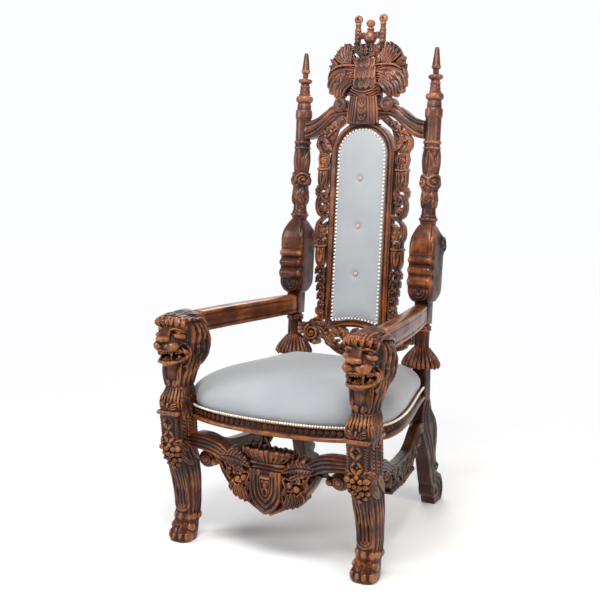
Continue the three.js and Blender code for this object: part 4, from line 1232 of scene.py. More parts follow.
def sweep(path, section, face, closed=True):
    """Corners and faces of a section carried along a path. section(t) gives pairs of sideways and
    outward offsets, and face is the outward direction."""
    p = np.asarray(path, float)
    face = np.asarray(face, float)
    step = np.roll(p, -1, 0) - p
    if not closed:
        step[-1] = step[-2]
    step /= np.linalg.norm(step, axis=1)[:, None]
    before = np.roll(step, 1, 0)
    if not closed:
        before[0] = step[0]
    run = step + before
    run /= np.linalg.norm(run, axis=1)[:, None]
    across = np.cross(run, face)
    across /= np.linalg.norm(across, axis=1)[:, None]
    stretch = 1 / np.maximum((run * step).sum(1), 0.5)
    rings = []
    for k in range(len(p)):
        cut = np.asarray(section(k / (len(p) - 1)), float)
        rings.append(p[k] + cut[:, :1] * across[k] * stretch[k] + cut[:, 1:] * face)
    n = len(rings[0])
    faces = []
    for k in range(len(p) if closed else len(p) - 1):
        faces += band_faces(k * n, ((k + 1) % len(p)) * n, n)
    points = np.concatenate(rings)
    if not closed:
        for ring in (0, len(p) - 1):
            points = np.vstack([points, points[ring * n : (ring + 1) * n].mean(0)])
            faces += fan_faces(ring * n, len(points) - 1, n, ring > 0)
    return points, faces


def swept_mesh(name, points, faces, side=1):
    """A mesh object from a sweep, its faces turned outwards and its three-sided faces made plain."""
    mesh = bpy.data.meshes.new(name)
    p = np.asarray(points, float).copy()
    p[:, 0] *= side
    p[:, 2] -= FLOOR
    mesh.from_pydata((p / 1000).tolist(), [], [f if f[2] != f[3] else f[:3] for f in faces])
    tidy = bmesh.new()
    tidy.from_mesh(mesh)
    bmesh.ops.remove_doubles(tidy, verts=tidy.verts, dist=1e-5)
    bmesh.ops.recalc_face_normals(tidy, faces=tidy.faces)
    tidy.to_mesh(mesh)
    tidy.free()
    mesh.polygons.foreach_set("use_smooth", np.ones(len(mesh.polygons), bool))
    piece = bpy.data.objects.new(name, mesh)
    bpy.context.scene.collection.objects.link(piece)
    proud_for_wear_and_shade(piece, 3, 99)
    print(name, "faces:", len(mesh.polygons))
    return piece


# %% The arms
ARM_SIDE = [
    (0.0, 1.0), (0.55, 0.985), (0.86, 0.93), (0.97, 0.84), (1.0, 0.72), (0.97, 0.62), (0.90, 0.56),
    (0.93, 0.50),
    (0.965, 0.40), (0.97, 0.0), (0.965, -0.40), (0.90, -0.50), (0.91, -0.58), (0.97, -0.64), (0.96, -0.80),
    (0.84, -0.93), (0.5, -1.0),
]
ARM_PATH = [
    (347, -262, 758, 27, 38), (341, -190, 757, 28, 38), (321, -40, 755, 29, 38), (291, 130, 753, 29, 37),
    (265, 262, 752, 26, 36),
]
arm_line = smooth_line(ARM_PATH, 40)


def arm_section(t):
    """A rail with a softly crowned top, a bead under its edge and a groove along each side."""
    half, tall = along(arm_line[:, 3], t), along(arm_line[:, 4], t)
    return [(half * a, tall * b) for a, b in ARM_SIDE] + [(-half * a, tall * b) for a, b in ARM_SIDE[:0:-1]]


arm_points, arm_faces = sweep(arm_line[:, :3], arm_section, (0, 0, 1), False)
for side, hand in HANDS:
    settle(swept_mesh("arm_rail_" + hand, arm_points, arm_faces, side), "arm_" + hand, rail_wood)

# %% [markdown]
# ## Seat
# The seat is a bowed frame with a plain rounded moulding below and a band of carved flowers above.
# The cushion is drawn over the frame and held by a close row of domed nails.

# %% The seat's plan
def seat_plan(grow, count=10):
    front, back, wide, rear = -415 - grow, 285 + grow, 382 + grow, 286 + grow
    right = [*bezier((0, front), (190, front), (wide + 6, -372), (wide, -200), 2 * count)]
    right += [*bezier((wide, -200), (wide, -60), (rear + 32, 90), (rear, back), 2 * count)]
    right = np.array(right + [np.array((rear, back))])
    left = right[::-1] * (-1, 1)
    return np.vstack([right, left[:-1]])


def level(plan, z):
    return np.column_stack([plan, np.full(len(plan), z)])


rail_section = [
    (-52, 440), (-8, 440), (-2, 442), (1.5, 447), (1.5, 451), (-2, 455), (-7, 456.5), (-9, 458.5),
    (-12, 459.5), (-12, 479), (-9.5, 480),
    (-8.5, 482.5), (-10, 485), (-20, 485.3), (-52, 485.3),
]
rail_points, rail_faces = sweep(level(seat_plan(0), 0), lambda t: rail_section, (0, 0, 1))
settle(swept_mesh("seat_rail_moulding", rail_points, rail_faces), "seat_rail", rail_wood)


# %% Posts and legs that the rail's trimmings stop at
def free_of_posts(x, y, spare=0.0):
    """True where the seat's edge isn't covered by a leg or a rear post."""
    leg = (np.abs(np.abs(x) - LEG_X) < 42 + spare) & (y < -305 + spare)
    post = (np.abs(np.abs(x) - POST_X) < 30 + spare) & (y > 248 - spare)
    return ~(leg | post)


def spaced(loop, spacing):
    """Points at an even spacing round a loop."""
    p = np.vstack([loop, loop[:1]])
    run = np.concatenate([[0], np.cumsum(np.linalg.norm(np.diff(p, axis=0), axis=1))])
    count = round(run[-1] / spacing)
    at = (np.arange(count) + 0.5) * run[-1] / count
    return np.stack([np.interp(at, run, p[:, k]) for k in range(p.shape[1])], 1)


# %% [markdown]
# Nails and flowers repeat, so Geometry Nodes set one small shape on every point of a guide.
# The guide is a cloud of points with a normal each, and the tree turns the shape to face that way.

# %% A tree that sets shapes on points
def setting_tree(name, finish):
    tree = bpy.data.node_groups.new(name, "GeometryNodeTree")
    for label, kind in (("Guide", "Geometry"), ("Shape", "Object"), ("Size", "Float"), ("Spread", "Float")):
        tree.interface.new_socket(label, in_out="INPUT", socket_type="NodeSocket" + kind)
    tree.interface.new_socket("Result", in_out="OUTPUT", socket_type="NodeSocketGeometry")
    given = add(tree, "NodeGroupInput").outputs
    shape = add(tree, "GeometryNodeObjectInfo", None, {"Object": given["Shape"]})
    facing = add(tree, "GeometryNodeInputNamedAttribute", {"Name": "facing"}, data_type="FLOAT_VECTOR")
    turn = add(tree, "FunctionNodeAlignRotationToVector", None, {"Vector": facing.outputs[0]}, axis="Z")
    low = maths(tree, "SUBTRACT", given["Size"], given["Spread"])
    high = maths(tree, "ADD", given["Size"], given["Spread"])
    size = add(tree, "FunctionNodeRandomValue", {"Seed": 7}, {2: low, 3: high}, data_type="FLOAT")
    dots = add(tree, "GeometryNodeMeshToPoints", None, {"Mesh": given["Guide"]})
    links = {"Points": dots.outputs[0], "Instance": shape.outputs["Geometry"]}
    links |= {"Rotation": turn.outputs[0], "Scale": size.outputs[1]}
    put = add(tree, "GeometryNodeInstanceOnPoints", None, links)
    real = add(tree, "GeometryNodeRealizeInstances", None, {0: put.outputs[0]})
    painted = add(tree, "GeometryNodeSetMaterial", {"Material": finish}, {0: real.outputs[0]})
    add(tree, "NodeGroupOutput", None, {0: painted.outputs[0]})
    return tree


def set_on_points(name, points, normals, shape, size, spread, finish):
    """One mesh of a shape repeated on points, in millimetres, facing along their normals."""
    guide_mesh = bpy.data.meshes.new(name)
    p = np.asarray(points, float).copy()
    p[:, 2] -= FLOOR
    guide_mesh.from_pydata((p / 1000).tolist(), [], [])
    facing = guide_mesh.attributes.new("facing", "FLOAT_VECTOR", "POINT")
    facing.data.foreach_set("vector", np.asarray(normals, np.float32).ravel())
    piece = bpy.data.objects.new(name, guide_mesh)
    bpy.context.scene.collection.objects.link(piece)
    tree = setting_tree(name, finish)
    nodes = piece.modifiers.new("Set", "NODES")
    nodes.node_group = tree
    for item in tree.interface.items_tree:
        if item.in_out == "INPUT" and item.name != "Guide":
            nodes[item.identifier] = {"Shape": shape, "Size": size, "Spread": spread}[item.name]
    plain_mesh(piece)
    proud_for_wear_and_shade(piece, 2)
    print(name, "set:", len(p), "faces:", len(piece.data.polygons))
    return piece


def pattern(name, points, faces):
    """A small shape to repeat, in metres. It isn't shown itself."""
    mesh = bpy.data.meshes.new(name)
    mesh.from_pydata([tuple(np.asarray(q, float) / 1000) for q in points], [], faces)
    mesh.polygons.foreach_set("use_smooth", np.ones(len(mesh.polygons), bool))
    return bpy.data.objects.new(name, mesh)


def ringed(name, foot, rings, peak):
    """A closed shape from rings of points, lowest first, with a point under and over them."""
    n = len(rings[0])
    points = [(0, 0, foot), *np.concatenate(rings), (0, 0, peak)]
    faces = [(0, 1 + (i + 1) % n, 1 + i) for i in range(n)]
    for k in range(len(rings) - 1):
        faces += band_faces(1 + k * n, 1 + (k + 1) * n, n)
    last = len(points) - 1
    return pattern(name, points, faces + [(last - n + i, last - n + (i + 1) % n, last) for i in range(n)])


def dome(name, radius, tall, sides=8, levels=3):
    t = np.arange(sides) * 2 * math.pi / sides
    rings = []
    for a in np.arange(levels + 1) * 0.5 * math.pi / (levels + 1):
        r, z = radius * math.cos(a), tall * (math.sin(a) if a else -0.3)
        rings.append(np.column_stack([r * np.cos(t), r * np.sin(t), np.full(sides, z)]))
    return ringed(name, -0.6 * tall, rings, tall)


def flower_shape():
    """A carved rosette: eight petals round a raised eye."""
    t = np.arange(32) * 2 * math.pi / 32
    petal = np.abs(np.cos(4 * t))
    rings = []
    for r, z, wave in (
        (8.2, -1.0, 0.10), (8.4, 1.2, 0.10), (7.0, 3.4, 0.12), (4.6, 3.0, 0.10),
        (3.4, 1.6, 0.0), (3.0, 3.2, 0.0), (1.6, 4.6, 0.0),
    ):
        r = r * (1 - wave + 1.6 * wave * petal)
        rings.append(np.column_stack([r * np.cos(t), r * np.sin(t), z - 8 * wave * (1 - petal)]))
    return ringed("flower", -2, rings, 4.9)


# %% Flowers on the seat rail
def outward(points):
    """Level directions that point out of a closed loop, at points on it."""
    p = np.asarray(points)
    run = np.roll(p, -1, 0) - np.roll(p, 1, 0)
    out = np.stack([run[:, 1], -run[:, 0], 0 * run[:, 0]], 1)
    return out / np.linalg.norm(out, axis=1)[:, None]


def along_seat(grow, z, spacing, spare=0.0):
    points = spaced(level(seat_plan(grow), z), spacing)
    normals = outward(points)
    keep = free_of_posts(points[:, 0], points[:, 1], spare)
    return points[keep], normals[keep]


flower = flower_shape()
points, normals = along_seat(-12.5, 469, 21, 6)
rail_flowers = set_on_points("seat_rail_flowers", points, normals, flower, 0.98, 0.04, carved_wood)
settle(rail_flowers)

nail = dome("nail", 4.3, 3.4)
points, normals = along_seat(-2.2, 490.5, 9.2, 2)
tilted = normals * 0.9 + np.array([0, 0, 0.35])
seat_nails = set_on_points("seat_nails", points, tilted, nail, 1.0, 0.04, nail_metal)
settle(seat_nails)


# %% The cushion
def cushion_shape():
    """The drawn-over cushion before it is stuffed: rings that close over the seat's plan."""
    plan = seat_plan(-4, 14)
    centre = np.array((0.0, -60.0))
    rings = [
        (0.86, 478), (0.985, 484.5), (1.0, 488), (1.008, 500), (1.005, 518), (0.985, 535), (0.945, 550),
        (0.88, 564), (0.78, 577), (0.64, 587), (0.48, 593.5), (0.32, 597), (0.16, 598.5),
    ]
    points, faces = [], []
    n = len(plan)
    for share, z in rings:
        points += [(*(centre + (q - centre) * share), z) for q in plan]
    points += [(0, -60, 478), (0, -60, 599)]
    last = (len(rings) - 1) * n
    for start in range(0, last, n):
        faces += band_faces(start, start + n, n)
    hub = len(points) - 1
    return points, faces + fan_faces(0, hub - 1, n, False) + fan_faces(last, hub, n, True)


def carve_out(piece, boxes):
    """Cuts upright boxes with rounded corners out of a piece."""
    for k, (x, y, hx, hy) in enumerate(boxes):
        cutter = bmesh.new()
        bmesh.ops.create_cone(cutter, cap_ends=True, segments=32, radius1=1, radius2=1, depth=0.3)
        for v in cutter.verts:
            c, s = v.co.x, v.co.y
            v.co.x = (x + hx * math.copysign(abs(c) ** 0.4, c)) / 1000
            v.co.y = (y + hy * math.copysign(abs(s) ** 0.4, s)) / 1000
            v.co.z += 0.55
        mesh = bpy.data.meshes.new("cutter")
        cutter.to_mesh(mesh)
        cutter.free()
        tool = bpy.data.objects.new("cutter", mesh)
        bpy.context.scene.collection.objects.link(tool)
        cut = piece.modifiers.new("Cut", "BOOLEAN")
        cut.operation, cut.solver, cut.object = "DIFFERENCE", "EXACT", tool
        plain_mesh(piece)
        bpy.data.objects.remove(tool)
        bpy.data.meshes.remove(mesh)


def stuff(piece, pressure, cap, frames=20):
    """Blows a closed cloth up a little, and keeps every point within cap millimetres of where it was."""
    before = np.empty(len(piece.data.vertices) * 3, np.float32)
    piece.data.vertices.foreach_get("co", before)
    cloth = piece.modifiers.new("Cloth", "CLOTH")
    cloth.settings.use_pressure = True
    cloth.settings.uniform_pressure_force = pressure
    cloth.settings.effector_weights.gravity = 0.0
    cloth.settings.quality = 5
    cloth.point_cache.frame_start, cloth.point_cache.frame_end = 1, frames
    scene = bpy.context.scene
    for frame_number in range(1, frames + 1):
        scene.frame_set(frame_number)
    plain_mesh(piece)
    scene.frame_set(1)
    after = np.empty_like(before)
    piece.data.vertices.foreach_get("co", after)
    shift = (after - before).reshape(-1, 3)
    size = np.linalg.norm(shift, axis=1)[:, None]
    shift *= np.minimum(1, cap / 1000 / np.maximum(size, 1e-9))
    piece.data.vertices.foreach_set("co", (before.reshape(-1, 3) + shift).ravel())
    piece.data.update()
    print(piece.name, "largest move, mm:", round(float(size.max() * 1000), 1))


cushion = swept_mesh("seat_cushion_cover", *cushion_shape())
carve_out(cushion, [(s * LEG_X, -377, 45, 73) for s in (1, -1)] + [(s * POST_X, 288, 34, 42)
    for s in (1, -1)])
remesh = cushion.modifiers.new("Remesh", "REMESH")
remesh.mode, remesh.voxel_size, remesh.use_smooth_shade = "VOXEL", 0.0125, True
plain_mesh(cushion)
stuff(cushion, 3.0, 7.0)
relax = cushion.modifiers.new("Relax", "SMOOTH")
relax.factor, relax.iterations = 0.5, 8
finer = cushion.modifiers.new("Finer", "SUBSURF")
finer.levels = finer.render_levels = 1
plain_mesh(cushion)
cushion.data.polygons.foreach_set("use_smooth", np.ones(len(cushion.data.polygons), bool))
settle(cushion, "seat_cushion", upholstery)
print("cushion triangles:", sum(len(q.vertices) - 2 for q in cushion.data.polygons))

# %% [markdown]
# ## The back's panel
# An arched moulding holds a stuffed panel. Nails run round the panel's edge, and three covered
# buttons are drawn down its middle, each with a shallow dimple round it.

# %% The arched frame
def panel_plan(grow, count=40):
    r, foot = 98 + grow, 693 - grow
    t = np.linspace(0, math.pi, count)
    arch = np.stack([r * np.cos(t), 1320 + r * np.sin(t)], 1)
    right = np.stack([np.full(14, r), np.linspace(foot, 1300, 14)], 1)
    left = right[::-1] * (-1, 1)
    t = np.linspace(0, 1, 12)[1:-1]
    low = np.stack([-r + 2 * r * t, foot + 2 * t * (1 - t) * 30], 1)
    return np.vstack([right, arch, left, low])


def facing_front(plan, y):
    return np.column_stack([plan[:, 0], np.full(len(plan), y), plan[:, 1]])


frame_section = [
    (0.5, -12), (0.5, 15), (1.5, 20), (3, 21.5), (5, 21), (6, 19), (7.5, 18.5), (10, 21), (13, 25.5),
    (16, 27.5), (19, 27.5), (21, 25),
    (22, 22.5), (24, 22), (25.5, 22.5), (26.8, 20.5), (27, 18), (27, -18), (3, -18),
]
points, faces = sweep(facing_front(panel_plan(0), 0), lambda t: frame_section, (0, -1, 0))
settle(swept_mesh("back_frame_moulding", lean(points), faces), "back_frame", rail_wood)


# %% The stuffed panel
BUTTON_Z = (880, 1057, 1233)


def pad_face(x, z, inset):
    """How far the panel's face stands forward, given how far in from its edge a point is."""
    crown = 15 * (1 - np.exp(-inset / 22.0))
    for height in BUTTON_Z:
        away = np.hypot(x, z - height)
        crown = crown - 7.5 * np.exp(-((away / 13.0) ** 2)) - 1.5 * np.exp(-((away / 34.0) ** 2))
    return 21 + crown


def grid_pad():
    """The panel as a fine grid clipped to its outline, so that the dimples are round."""
    sheet = Relief(-110, 110, 680, 1430, 2.0)
    x, z = sheet.u[:, None], sheet.v[None, :]
    sheet.edge = outline_distance(panel_plan(-0.6), x, z)
    sheet.height = np.where(sheet.edge < 1, pad_face(x, z, np.maximum(-sheet.edge, 0)), EMPTY)
    return sheet


pad_points, pad_faces = skin(plate_block(grid_pad(), 0.0, 12.0, 2.6))
pad = to_mesh("back_panel_cover", lean(pad_points), pad_faces, 0, 1, 24000)
relax = pad.modifiers.new("Relax", "SMOOTH")
relax.factor, relax.iterations = 0.5, 6
plain_mesh(pad)
settle(pad, "back_pad", upholstery)

# %% Buttons and nails on the panel
covered = dome("covered_button", 9.0, 5.0, 20, 5)
lean_face = np.array([0, -math.cos(RAKE), math.sin(RAKE)])
for n, height in enumerate(BUTTON_Z, 1):
    at = lean(np.array([(0.0, -31.5, float(height))]))
    button = set_on_points(f"covered_button_{n}", at, [lean_face], covered, 1.0, 0.0, button_cover)
    settle(button, f"button_{n}")

ring = spaced(facing_front(panel_plan(-5.5), -26.5), 13.6)
panel_nails = set_on_points("back_panel_nails", lean(ring), np.tile(lean_face, (len(ring), 1)), nail, 1.12,
                            0.03, nail_metal)
settle(panel_nails)

# %% [markdown]
# ## Pierced work
# The flat carvings are sawn through from a board and then modelled on the face. Each is drawn as a
# relief: a strip for each stem, a lobed strip for each leaf, and a spiral for each scroll.

# %% A carving from a sheet
def pierced(name, sheet, front, back, thin, place, extra=None, side=1, step=1.5, **room):
    """The mesh of a pierced plate. extra adds to its block, and place moves its points."""
    block = plate_block(sheet, front, back, step, **room)
    if extra:
        extra(block)
    points, faces = skin(block)
    return to_mesh(name, place(points), faces, 0, side, thin)


def shield_shape(x, top, half, height, count=7):
    """A shield's outline: a square top, upright sides and a pointed foot."""
    t = np.linspace(0, 1, count)[:, None]
    a, c = np.array((x + half, top - 0.5 * height)), np.array((x, top - height))
    b = np.array((x + half * 0.95, top - 0.82 * height))
    right = (1 - t) ** 2 * a + 2 * t * (1 - t) * b + t**2 * c
    left = (2 * x, 0) + right[::-1] * (-1, 1)
    return np.vstack([[(x + half, top)], right, left[1:], [(x - half, top)]])


def small_shield(sheet, x, top, height, base=0.0):
    """A crown over a shield with a raised border and two leaves inside."""
    for k in (-1, 0, 1):
        sheet.leaf([(x + 11 * k, top - 2), (x + 13 * k, top + 8), (x + 14 * k, top + 17)], 13, 7, base + 4, 2,
                   2)
    sheet.strip([(x - 20, top - 3), (x, top - 5), (x + 20, top - 3)], 9, 6, base + 5, flat)
    sheet.plate(shield_shape(x, top - 6, 20, height), base + 8)
    outline = shield_shape(x, top - 10, 14.5, height - 11)
    for a, b in zip(outline, np.roll(outline, -1, 0)):
        sheet.strip([a, (a + b) / 2, b], 3.2, 3.4, 0, groove=True)
    for s in (-1, 1):
        spray = [(x, top - 0.84 * height), (x + 7 * s, top - 0.5 * height), (x + 4 * s, top - 0.22 * height)]
        sheet.leaf(spray, 9, 4, base + 8, 3, 2)
    return sheet


# %% Scrollwork beside the panel
def fretwork_sheet():
    s = Relief(60, 192, 698, 1470, 1.0)
    seam = 129
    s.strip([(seam, 1345), (seam, 1050), (seam, 712)], [9, 8, 10], 3, -6, flat)
    s.plate([(104, 1432), (132, 1412), (166, 1386), (184, 1368), (184, 1344), (170, 1322), (150, 1322),
             (132, 1336), (120, 1380)], -4)
    for x, z, r in ((140, 1386, 5), (158, 1352, 5), (176, 1362, 5), (122, 1404, 4), (150, 1332, 4)):
        s.disc((x, z), r, 0, join="hole")
    for line, width in (
        ([(70, 1462), (104, 1436), (140, 1406), (166, 1378)], [24, 26, 26, 20]),
        ([(150, 1404), (178, 1384), (186, 1362), (176, 1338), (166, 1318)], [16, 18, 15, 15, 14]),
    ):
        s.strip(line, width, 6, -2, fluted(2))
    for a, b, c in (((84, 1452), (96, 1444), (100, 1428)), ((104, 1440), (122, 1434), (128, 1420)),
                    ((126, 1422), (140, 1420), (150, 1404)),
                    ((150, 1402), (168, 1402), (184, 1388)), ((160, 1384), (150, 1370), (136, 1362))):
        s.leaf([a, b, c], 18, 8, 2, 4, 3)
    for x, z in ((112, 1428), (134, 1408), (156, 1390)):
        s.disc((x, z), 6, 6, 4)
    s.leaf([(seam - 2, 1336), (146, 1356), (166, 1376)], 20, 7, 0, 4, 4)
    s.leaf([(184, 1374), (186, 1352), (170, 1330)], 18, 8, 2, 4, 4)
    s.strip([(168, 1322), (147, 1317), (138, 1300), (148, 1284), (160, 1276)], [12, 13, 12, 11, 10], 9, 0,
            dished)
    s.disc((163, 1302), 7, 8, 2)
    s.strip([(176, 1326), (179, 1304), (176, 1284)], [6, 9, 6], 7, 0)
    small_shield(s, 160, 1270, 78)
    s.leaf([(158, 1206), (176, 1196), (182, 1176), (174, 1154)], 22, 9, 1, 5, 4)
    s.leaf([(154, 1208), (140, 1186), (142, 1162), (150, 1148)], 18, 8, 1, 4, 4)
    s.strip([(141, 1178), (168, 1168), (180, 1138), (172, 1102), (148, 1086)], [10, 15, 14, 15, 10], 9, 0,
            dished)
    s.strip([(150, 1092), (136, 1093), (seam, 1100)], [13, 12, 10], 7, 0, dished)
    s.strip([(164, 1166), (150, 1142), (146, 1116), (156, 1094)], [8, 11, 11, 8], 7, -1)
    s.leaf([(148, 1130), (160, 1122), (164, 1108)], 14, 8, 2, 3, 3)
    for x, z in ((156, 1120), (153, 1040), (160, 1300)):
        for a in range(0, 360, 60):
            t = math.radians(a)
            s.disc((x + 8 * math.cos(t), z + 8 * math.sin(t)), 5.6, 5, 3)
        s.disc((x, z), 4.2, 5, 6)
    s.leaf([(138, 1150), (150, 1142), (168, 1146)], 14, 7, 2, 3, 3).leaf([(136, 1026), (152, 1014),
        (170, 1012)], 14, 7, 2, 3, 3)
    s.strip([(150, 1088), (172, 1064), (178, 1030), (166, 1002), (150, 990)], [9, 14, 14, 14, 10], 9, 0,
            dished)
    s.leaf([(132, 1070), (149, 1052), (148, 1024), (132, 1006)], 18, 8, 0, 5, 4)
    s.leaf([(166, 1060), (150, 1040), (158, 1014)], 16, 8, 1, 4, 3)
    s.disc((146, 1000), 7, 7, 3).disc((168, 1000), 7, 7, 3)
    small_shield(s, 157, 982, 82)
    for y in range(6):
        z = 896 - 32 * y
        out = 172 - 4 * y
        s.leaf([(154 - 2 * y, z), (out - 4, z - 6), (out + 3, z - 26)], 20, 9, 1, 4, 3)
        s.leaf([(148 - 1.5 * y, z + 2), (138, z - 10), (134, z - 30)], 17, 8, 0, 4, 3)
        s.disc((153 - 2.2 * y, z - 14), 5, 6, 5)
    s.strip([(157, 904), (153, 850), (149, 800), (144, 748), (142, 704)], [12, 13, 13, 16, 22], 7, -1,
            fluted(1))
    s.leaf([(150, 752), (160, 730), (150, 708)], 22, 8, 2, 4, 4)
    s.plate(panel_plan(27.6), 0, "hole")
    s.plate(crest_rail_plan(0.6), 0, "hole")
    return s


def crest_rail_plan(grow=0.0):
    """Half of the ogee rail's outline."""
    top, foot = 1443 + grow, 1375 - grow
    points = [(0, 1496 + grow)]
    points += curved((90, 1506 + grow), (146, 1510 + grow), (165, 1468 + grow), (205, 1452 + grow))
    points += [(205, 1452 + grow), (232, 1445 + grow), (264, top)]
    points += [(264, foot), (232, 1379 - grow), (205, 1385 - grow)]
    points += curved((186, 1396 - grow), (150, 1420 - grow), (130, 1462 - grow), (80, 1466 - grow))
    return points + [(80, 1466 - grow), (0, 1460 - grow)]


fret = fretwork_sheet()
for side, hand in HANDS:
    carving = pierced("fretwork_carving_" + hand, fret, -18, 8, 48000, lean, side=side)
    settle(carving, "fretwork_" + hand, carved_wood)

# %% [markdown]
# ## Rails of the back
# The crest rail is an ogee with two rounded mouldings along it, curled over into a volute at each
# side of the crest. The lower rail has a broad curl at each post and two crossed bands of leaves.

# %% The crest rail
def crest_rail_sheet():
    s = Relief(0, 240, 1372, 1534, 1.1)
    s.plate(crest_rail_plan(), 0, ease=4)
    rail = [(60, 1486), (100, 1487), (134, 1476), (162, 1450), (196, 1427), (226, 1415), (262, 1411)]
    s.strip([(x, z + 15 + 0.03 * (x - 60)) for x, z in rail], [7, 9, 10, 10, 10, 9, 9], 5, 0)
    s.strip(rail, [14, 18, 22, 24, 26, 26, 26], 9, -1)
    s.strip([(x, z - 13 - 0.06 * (x - 60)) for x, z in rail], [6, 8, 9, 10, 10, 10, 10], 5, 0)
    s.disc((94, 1503), 27, 9, 8).scroll((94, 1502), 21, 1.0, 60, 17, 7, 11, 1)
    return s.mirrored()


def between_posts(block):
    Pair(block).cut(moved(turned([[31.5, 1345], [31.5, 1500]]), POST_X))


rail = pierced("crest_rail_carving", crest_rail_sheet(), -28, 24, 38000, lean, between_posts, step=1.8)
settle(rail, "crest_rail", carved_wood)


# %% The lower rail
def lower_rail_sheet():
    s = Relief(0, 236, 556, 716, 1.0)
    s.strip([(262, 660), (225, 660), (196, 668), (172, 688), (160, 700)], [50, 46, 34, 24, 18], 6, -2,
            fluted(2))
    s.disc((176, 648), 33, 6, -1).scroll((176, 648), 29, 1.8, 60, 13, 8, 4, -1)
    s.leaf([(206, 650), (196, 624), (172, 606)], 22, 8, 2, 5, 4)
    s.disc((162, 612), 11, 8, 2)
    s.strip([(178, 690), (140, 660), (96, 612), (52, 584), (0, 578)], [18, 26, 24, 20, 24], 9, -1, fluted(2))
    s.strip([(134, 682), (90, 668), (48, 640), (22, 612), (0, 600)], [12, 15, 16, 18, 20], 8, -2, fluted(1))
    for a, b, c in (((164, 680), (150, 686), (134, 676)), ((140, 656), (130, 636), (112, 632)),
                    ((112, 632), (106, 612), (88, 604)),
                    ((92, 660), (84, 644), (66, 640)), ((60, 676), (42, 656), (34, 630)),
                    ((40, 600), (30, 620), (14, 628)), ((70, 596), (52, 606), (40, 624))):
        s.leaf([a, b, c], 19, 9, 3, 4, 4)
    for x, z in ((116, 648), (76, 622), (50, 658)):
        s.disc((x, z), 7, 7, 3)
    s.leaf([(0, 672), (0, 640), (0, 604)], 40, 11, 3, 5, 6)
    s.leaf([(0, 612), (0, 586), (0, 560)], 26, 9, 4, 4, 4)
    s.plate(panel_plan(27.6), 0, "hole")
    return s.mirrored()


def lower_posts(block):
    Pair(block).cut(moved(turned([[29.4, 530], [29.4, 740]]), POST_X))


rail = pierced("lower_rail_carving", lower_rail_sheet(), -24, 16, 38000, lean, lower_posts)
settle(rail, "lower_back_rail", carved_wood)

# %% [markdown]
# ## The crest
# A spread bird in the heraldic manner stands on the rail: a scaled breast, a fluted tail, wings with
# ribbed fans above a ledge and curling feathers below, and a leafy bowl with an orb between two
# ringed staves. It is a pierced plate with the rounder parts added in its block.

# %% The wings, breast and tail
BACK = 5
BODY = [(1434, 60), (1452, 72), (1500, 66), (1532, 60), (1556, 64), (1600, 45), (1650, 36), (1672, 30)]
BODY_FRONT = [(1434, 30), (1500, 29), (1536, 24), (1556, 22), (1600, 21), (1650, 18), (1690, 12)]


def body_at(z):
    return np.interp(z, *zip(*BODY)), np.interp(z, *zip(*BODY_FRONT))


def wing(s):
    outline = [(30, 1560), (60, 1552), (84, 1538), (104, 1543), (122, 1533), (134, 1545), (146, 1556),
               (150, 1575), (154, 1600), (152, 1622)]
    outline += [(154, 1640), (146, 1656), (148, 1672), (136, 1684), (128, 1700), (116, 1714), (100, 1722),
                (84, 1730), (74, 1716), (66, 1698), (30, 1668)]
    s.plate(outline, 0, ease=3)
    for tip, width in (((62, 1704), 16), ((76, 1727), 19), ((92, 1727), 20), ((108, 1717), 20),
                       ((122, 1703), 20), ((132, 1686), 18)):
        root = (64 + 0.22 * (tip[0] - 60), 1648)
        bend = ((root[0] + tip[0]) / 2 + 3, (root[1] + tip[1]) / 2)
        s.strip([root, bend, tip], [8, width * 0.8, width, width * 0.9, 6], [8, 12, 11, 6], 2,
                fluted(1, 0.25))
    for a, b, c in (((118, 1650), (138, 1664), (149, 1674)), ((120, 1644), (142, 1646), (155, 1648)),
                    ((40, 1652), (50, 1668), (54, 1688))):
        s.leaf([a, b, c], 20, 10, 3, 4, 3)
    s.strip([(28, 1644), (70, 1648), (112, 1645), (140, 1630)], [7, 8, 9, 6], 7, 11, flat)
    plumes = [
        ([(46, 1634), (92, 1640), (136, 1630), (152, 1604)], 24, 12),
        ([(50, 1626), (96, 1624), (136, 1604), (151, 1576)], 30, 11),
        ([(60, 1614), (100, 1604), (130, 1582), (140, 1554)], 32, 10),
        ([(64, 1602), (94, 1586), (114, 1564), (119, 1540)], 30, 9),
        ([(58, 1586), (76, 1572), (90, 1556), (94, 1540)], 26, 8),
    ]
    for n, (line, width, height) in enumerate(plumes):
        s.strip(line, width * np.array([0.5, 0.9, 1, 1, 0.95, 0.7]), [height + 1, height, height - 3],
                2.2 * n, fluted(1, 0.35))
    s.disc((98, 1604), 27, 7, 10)
    for tip in ((112, 1588), (98, 1582), (120, 1602)):
        s.leaf([(82, 1616), ((82 + tip[0]) / 2 + 3, (1616 + tip[1]) / 2 + 3), tip], 15, 5, 16, 3, 4)
    for k in range(4):
        s.strip([(46, 1622 - 9 * k), (60, 1620 - 9 * k), (72, 1612 - 9 * k)], [5, 8, 7, 3], 7, 9)
    s.strip([(44, 1580), (62, 1572), (76, 1560)], [15, 12, 9], 11, 7)
    for dx, dz in ((14, 2), (12, -8), (4, -14)):
        s.strip([(76, 1560), (76 + dx * 0.6, 1560 + dz * 0.4), (76 + dx, 1560 + dz)], [7, 6, 2], 9, 8)


def feather(t, q):
    """A feather's crown with a groove for its quill."""
    return (1 - 0.2 * q * q) * (1 - 0.3 * np.exp(-((q / 0.12) ** 2)))


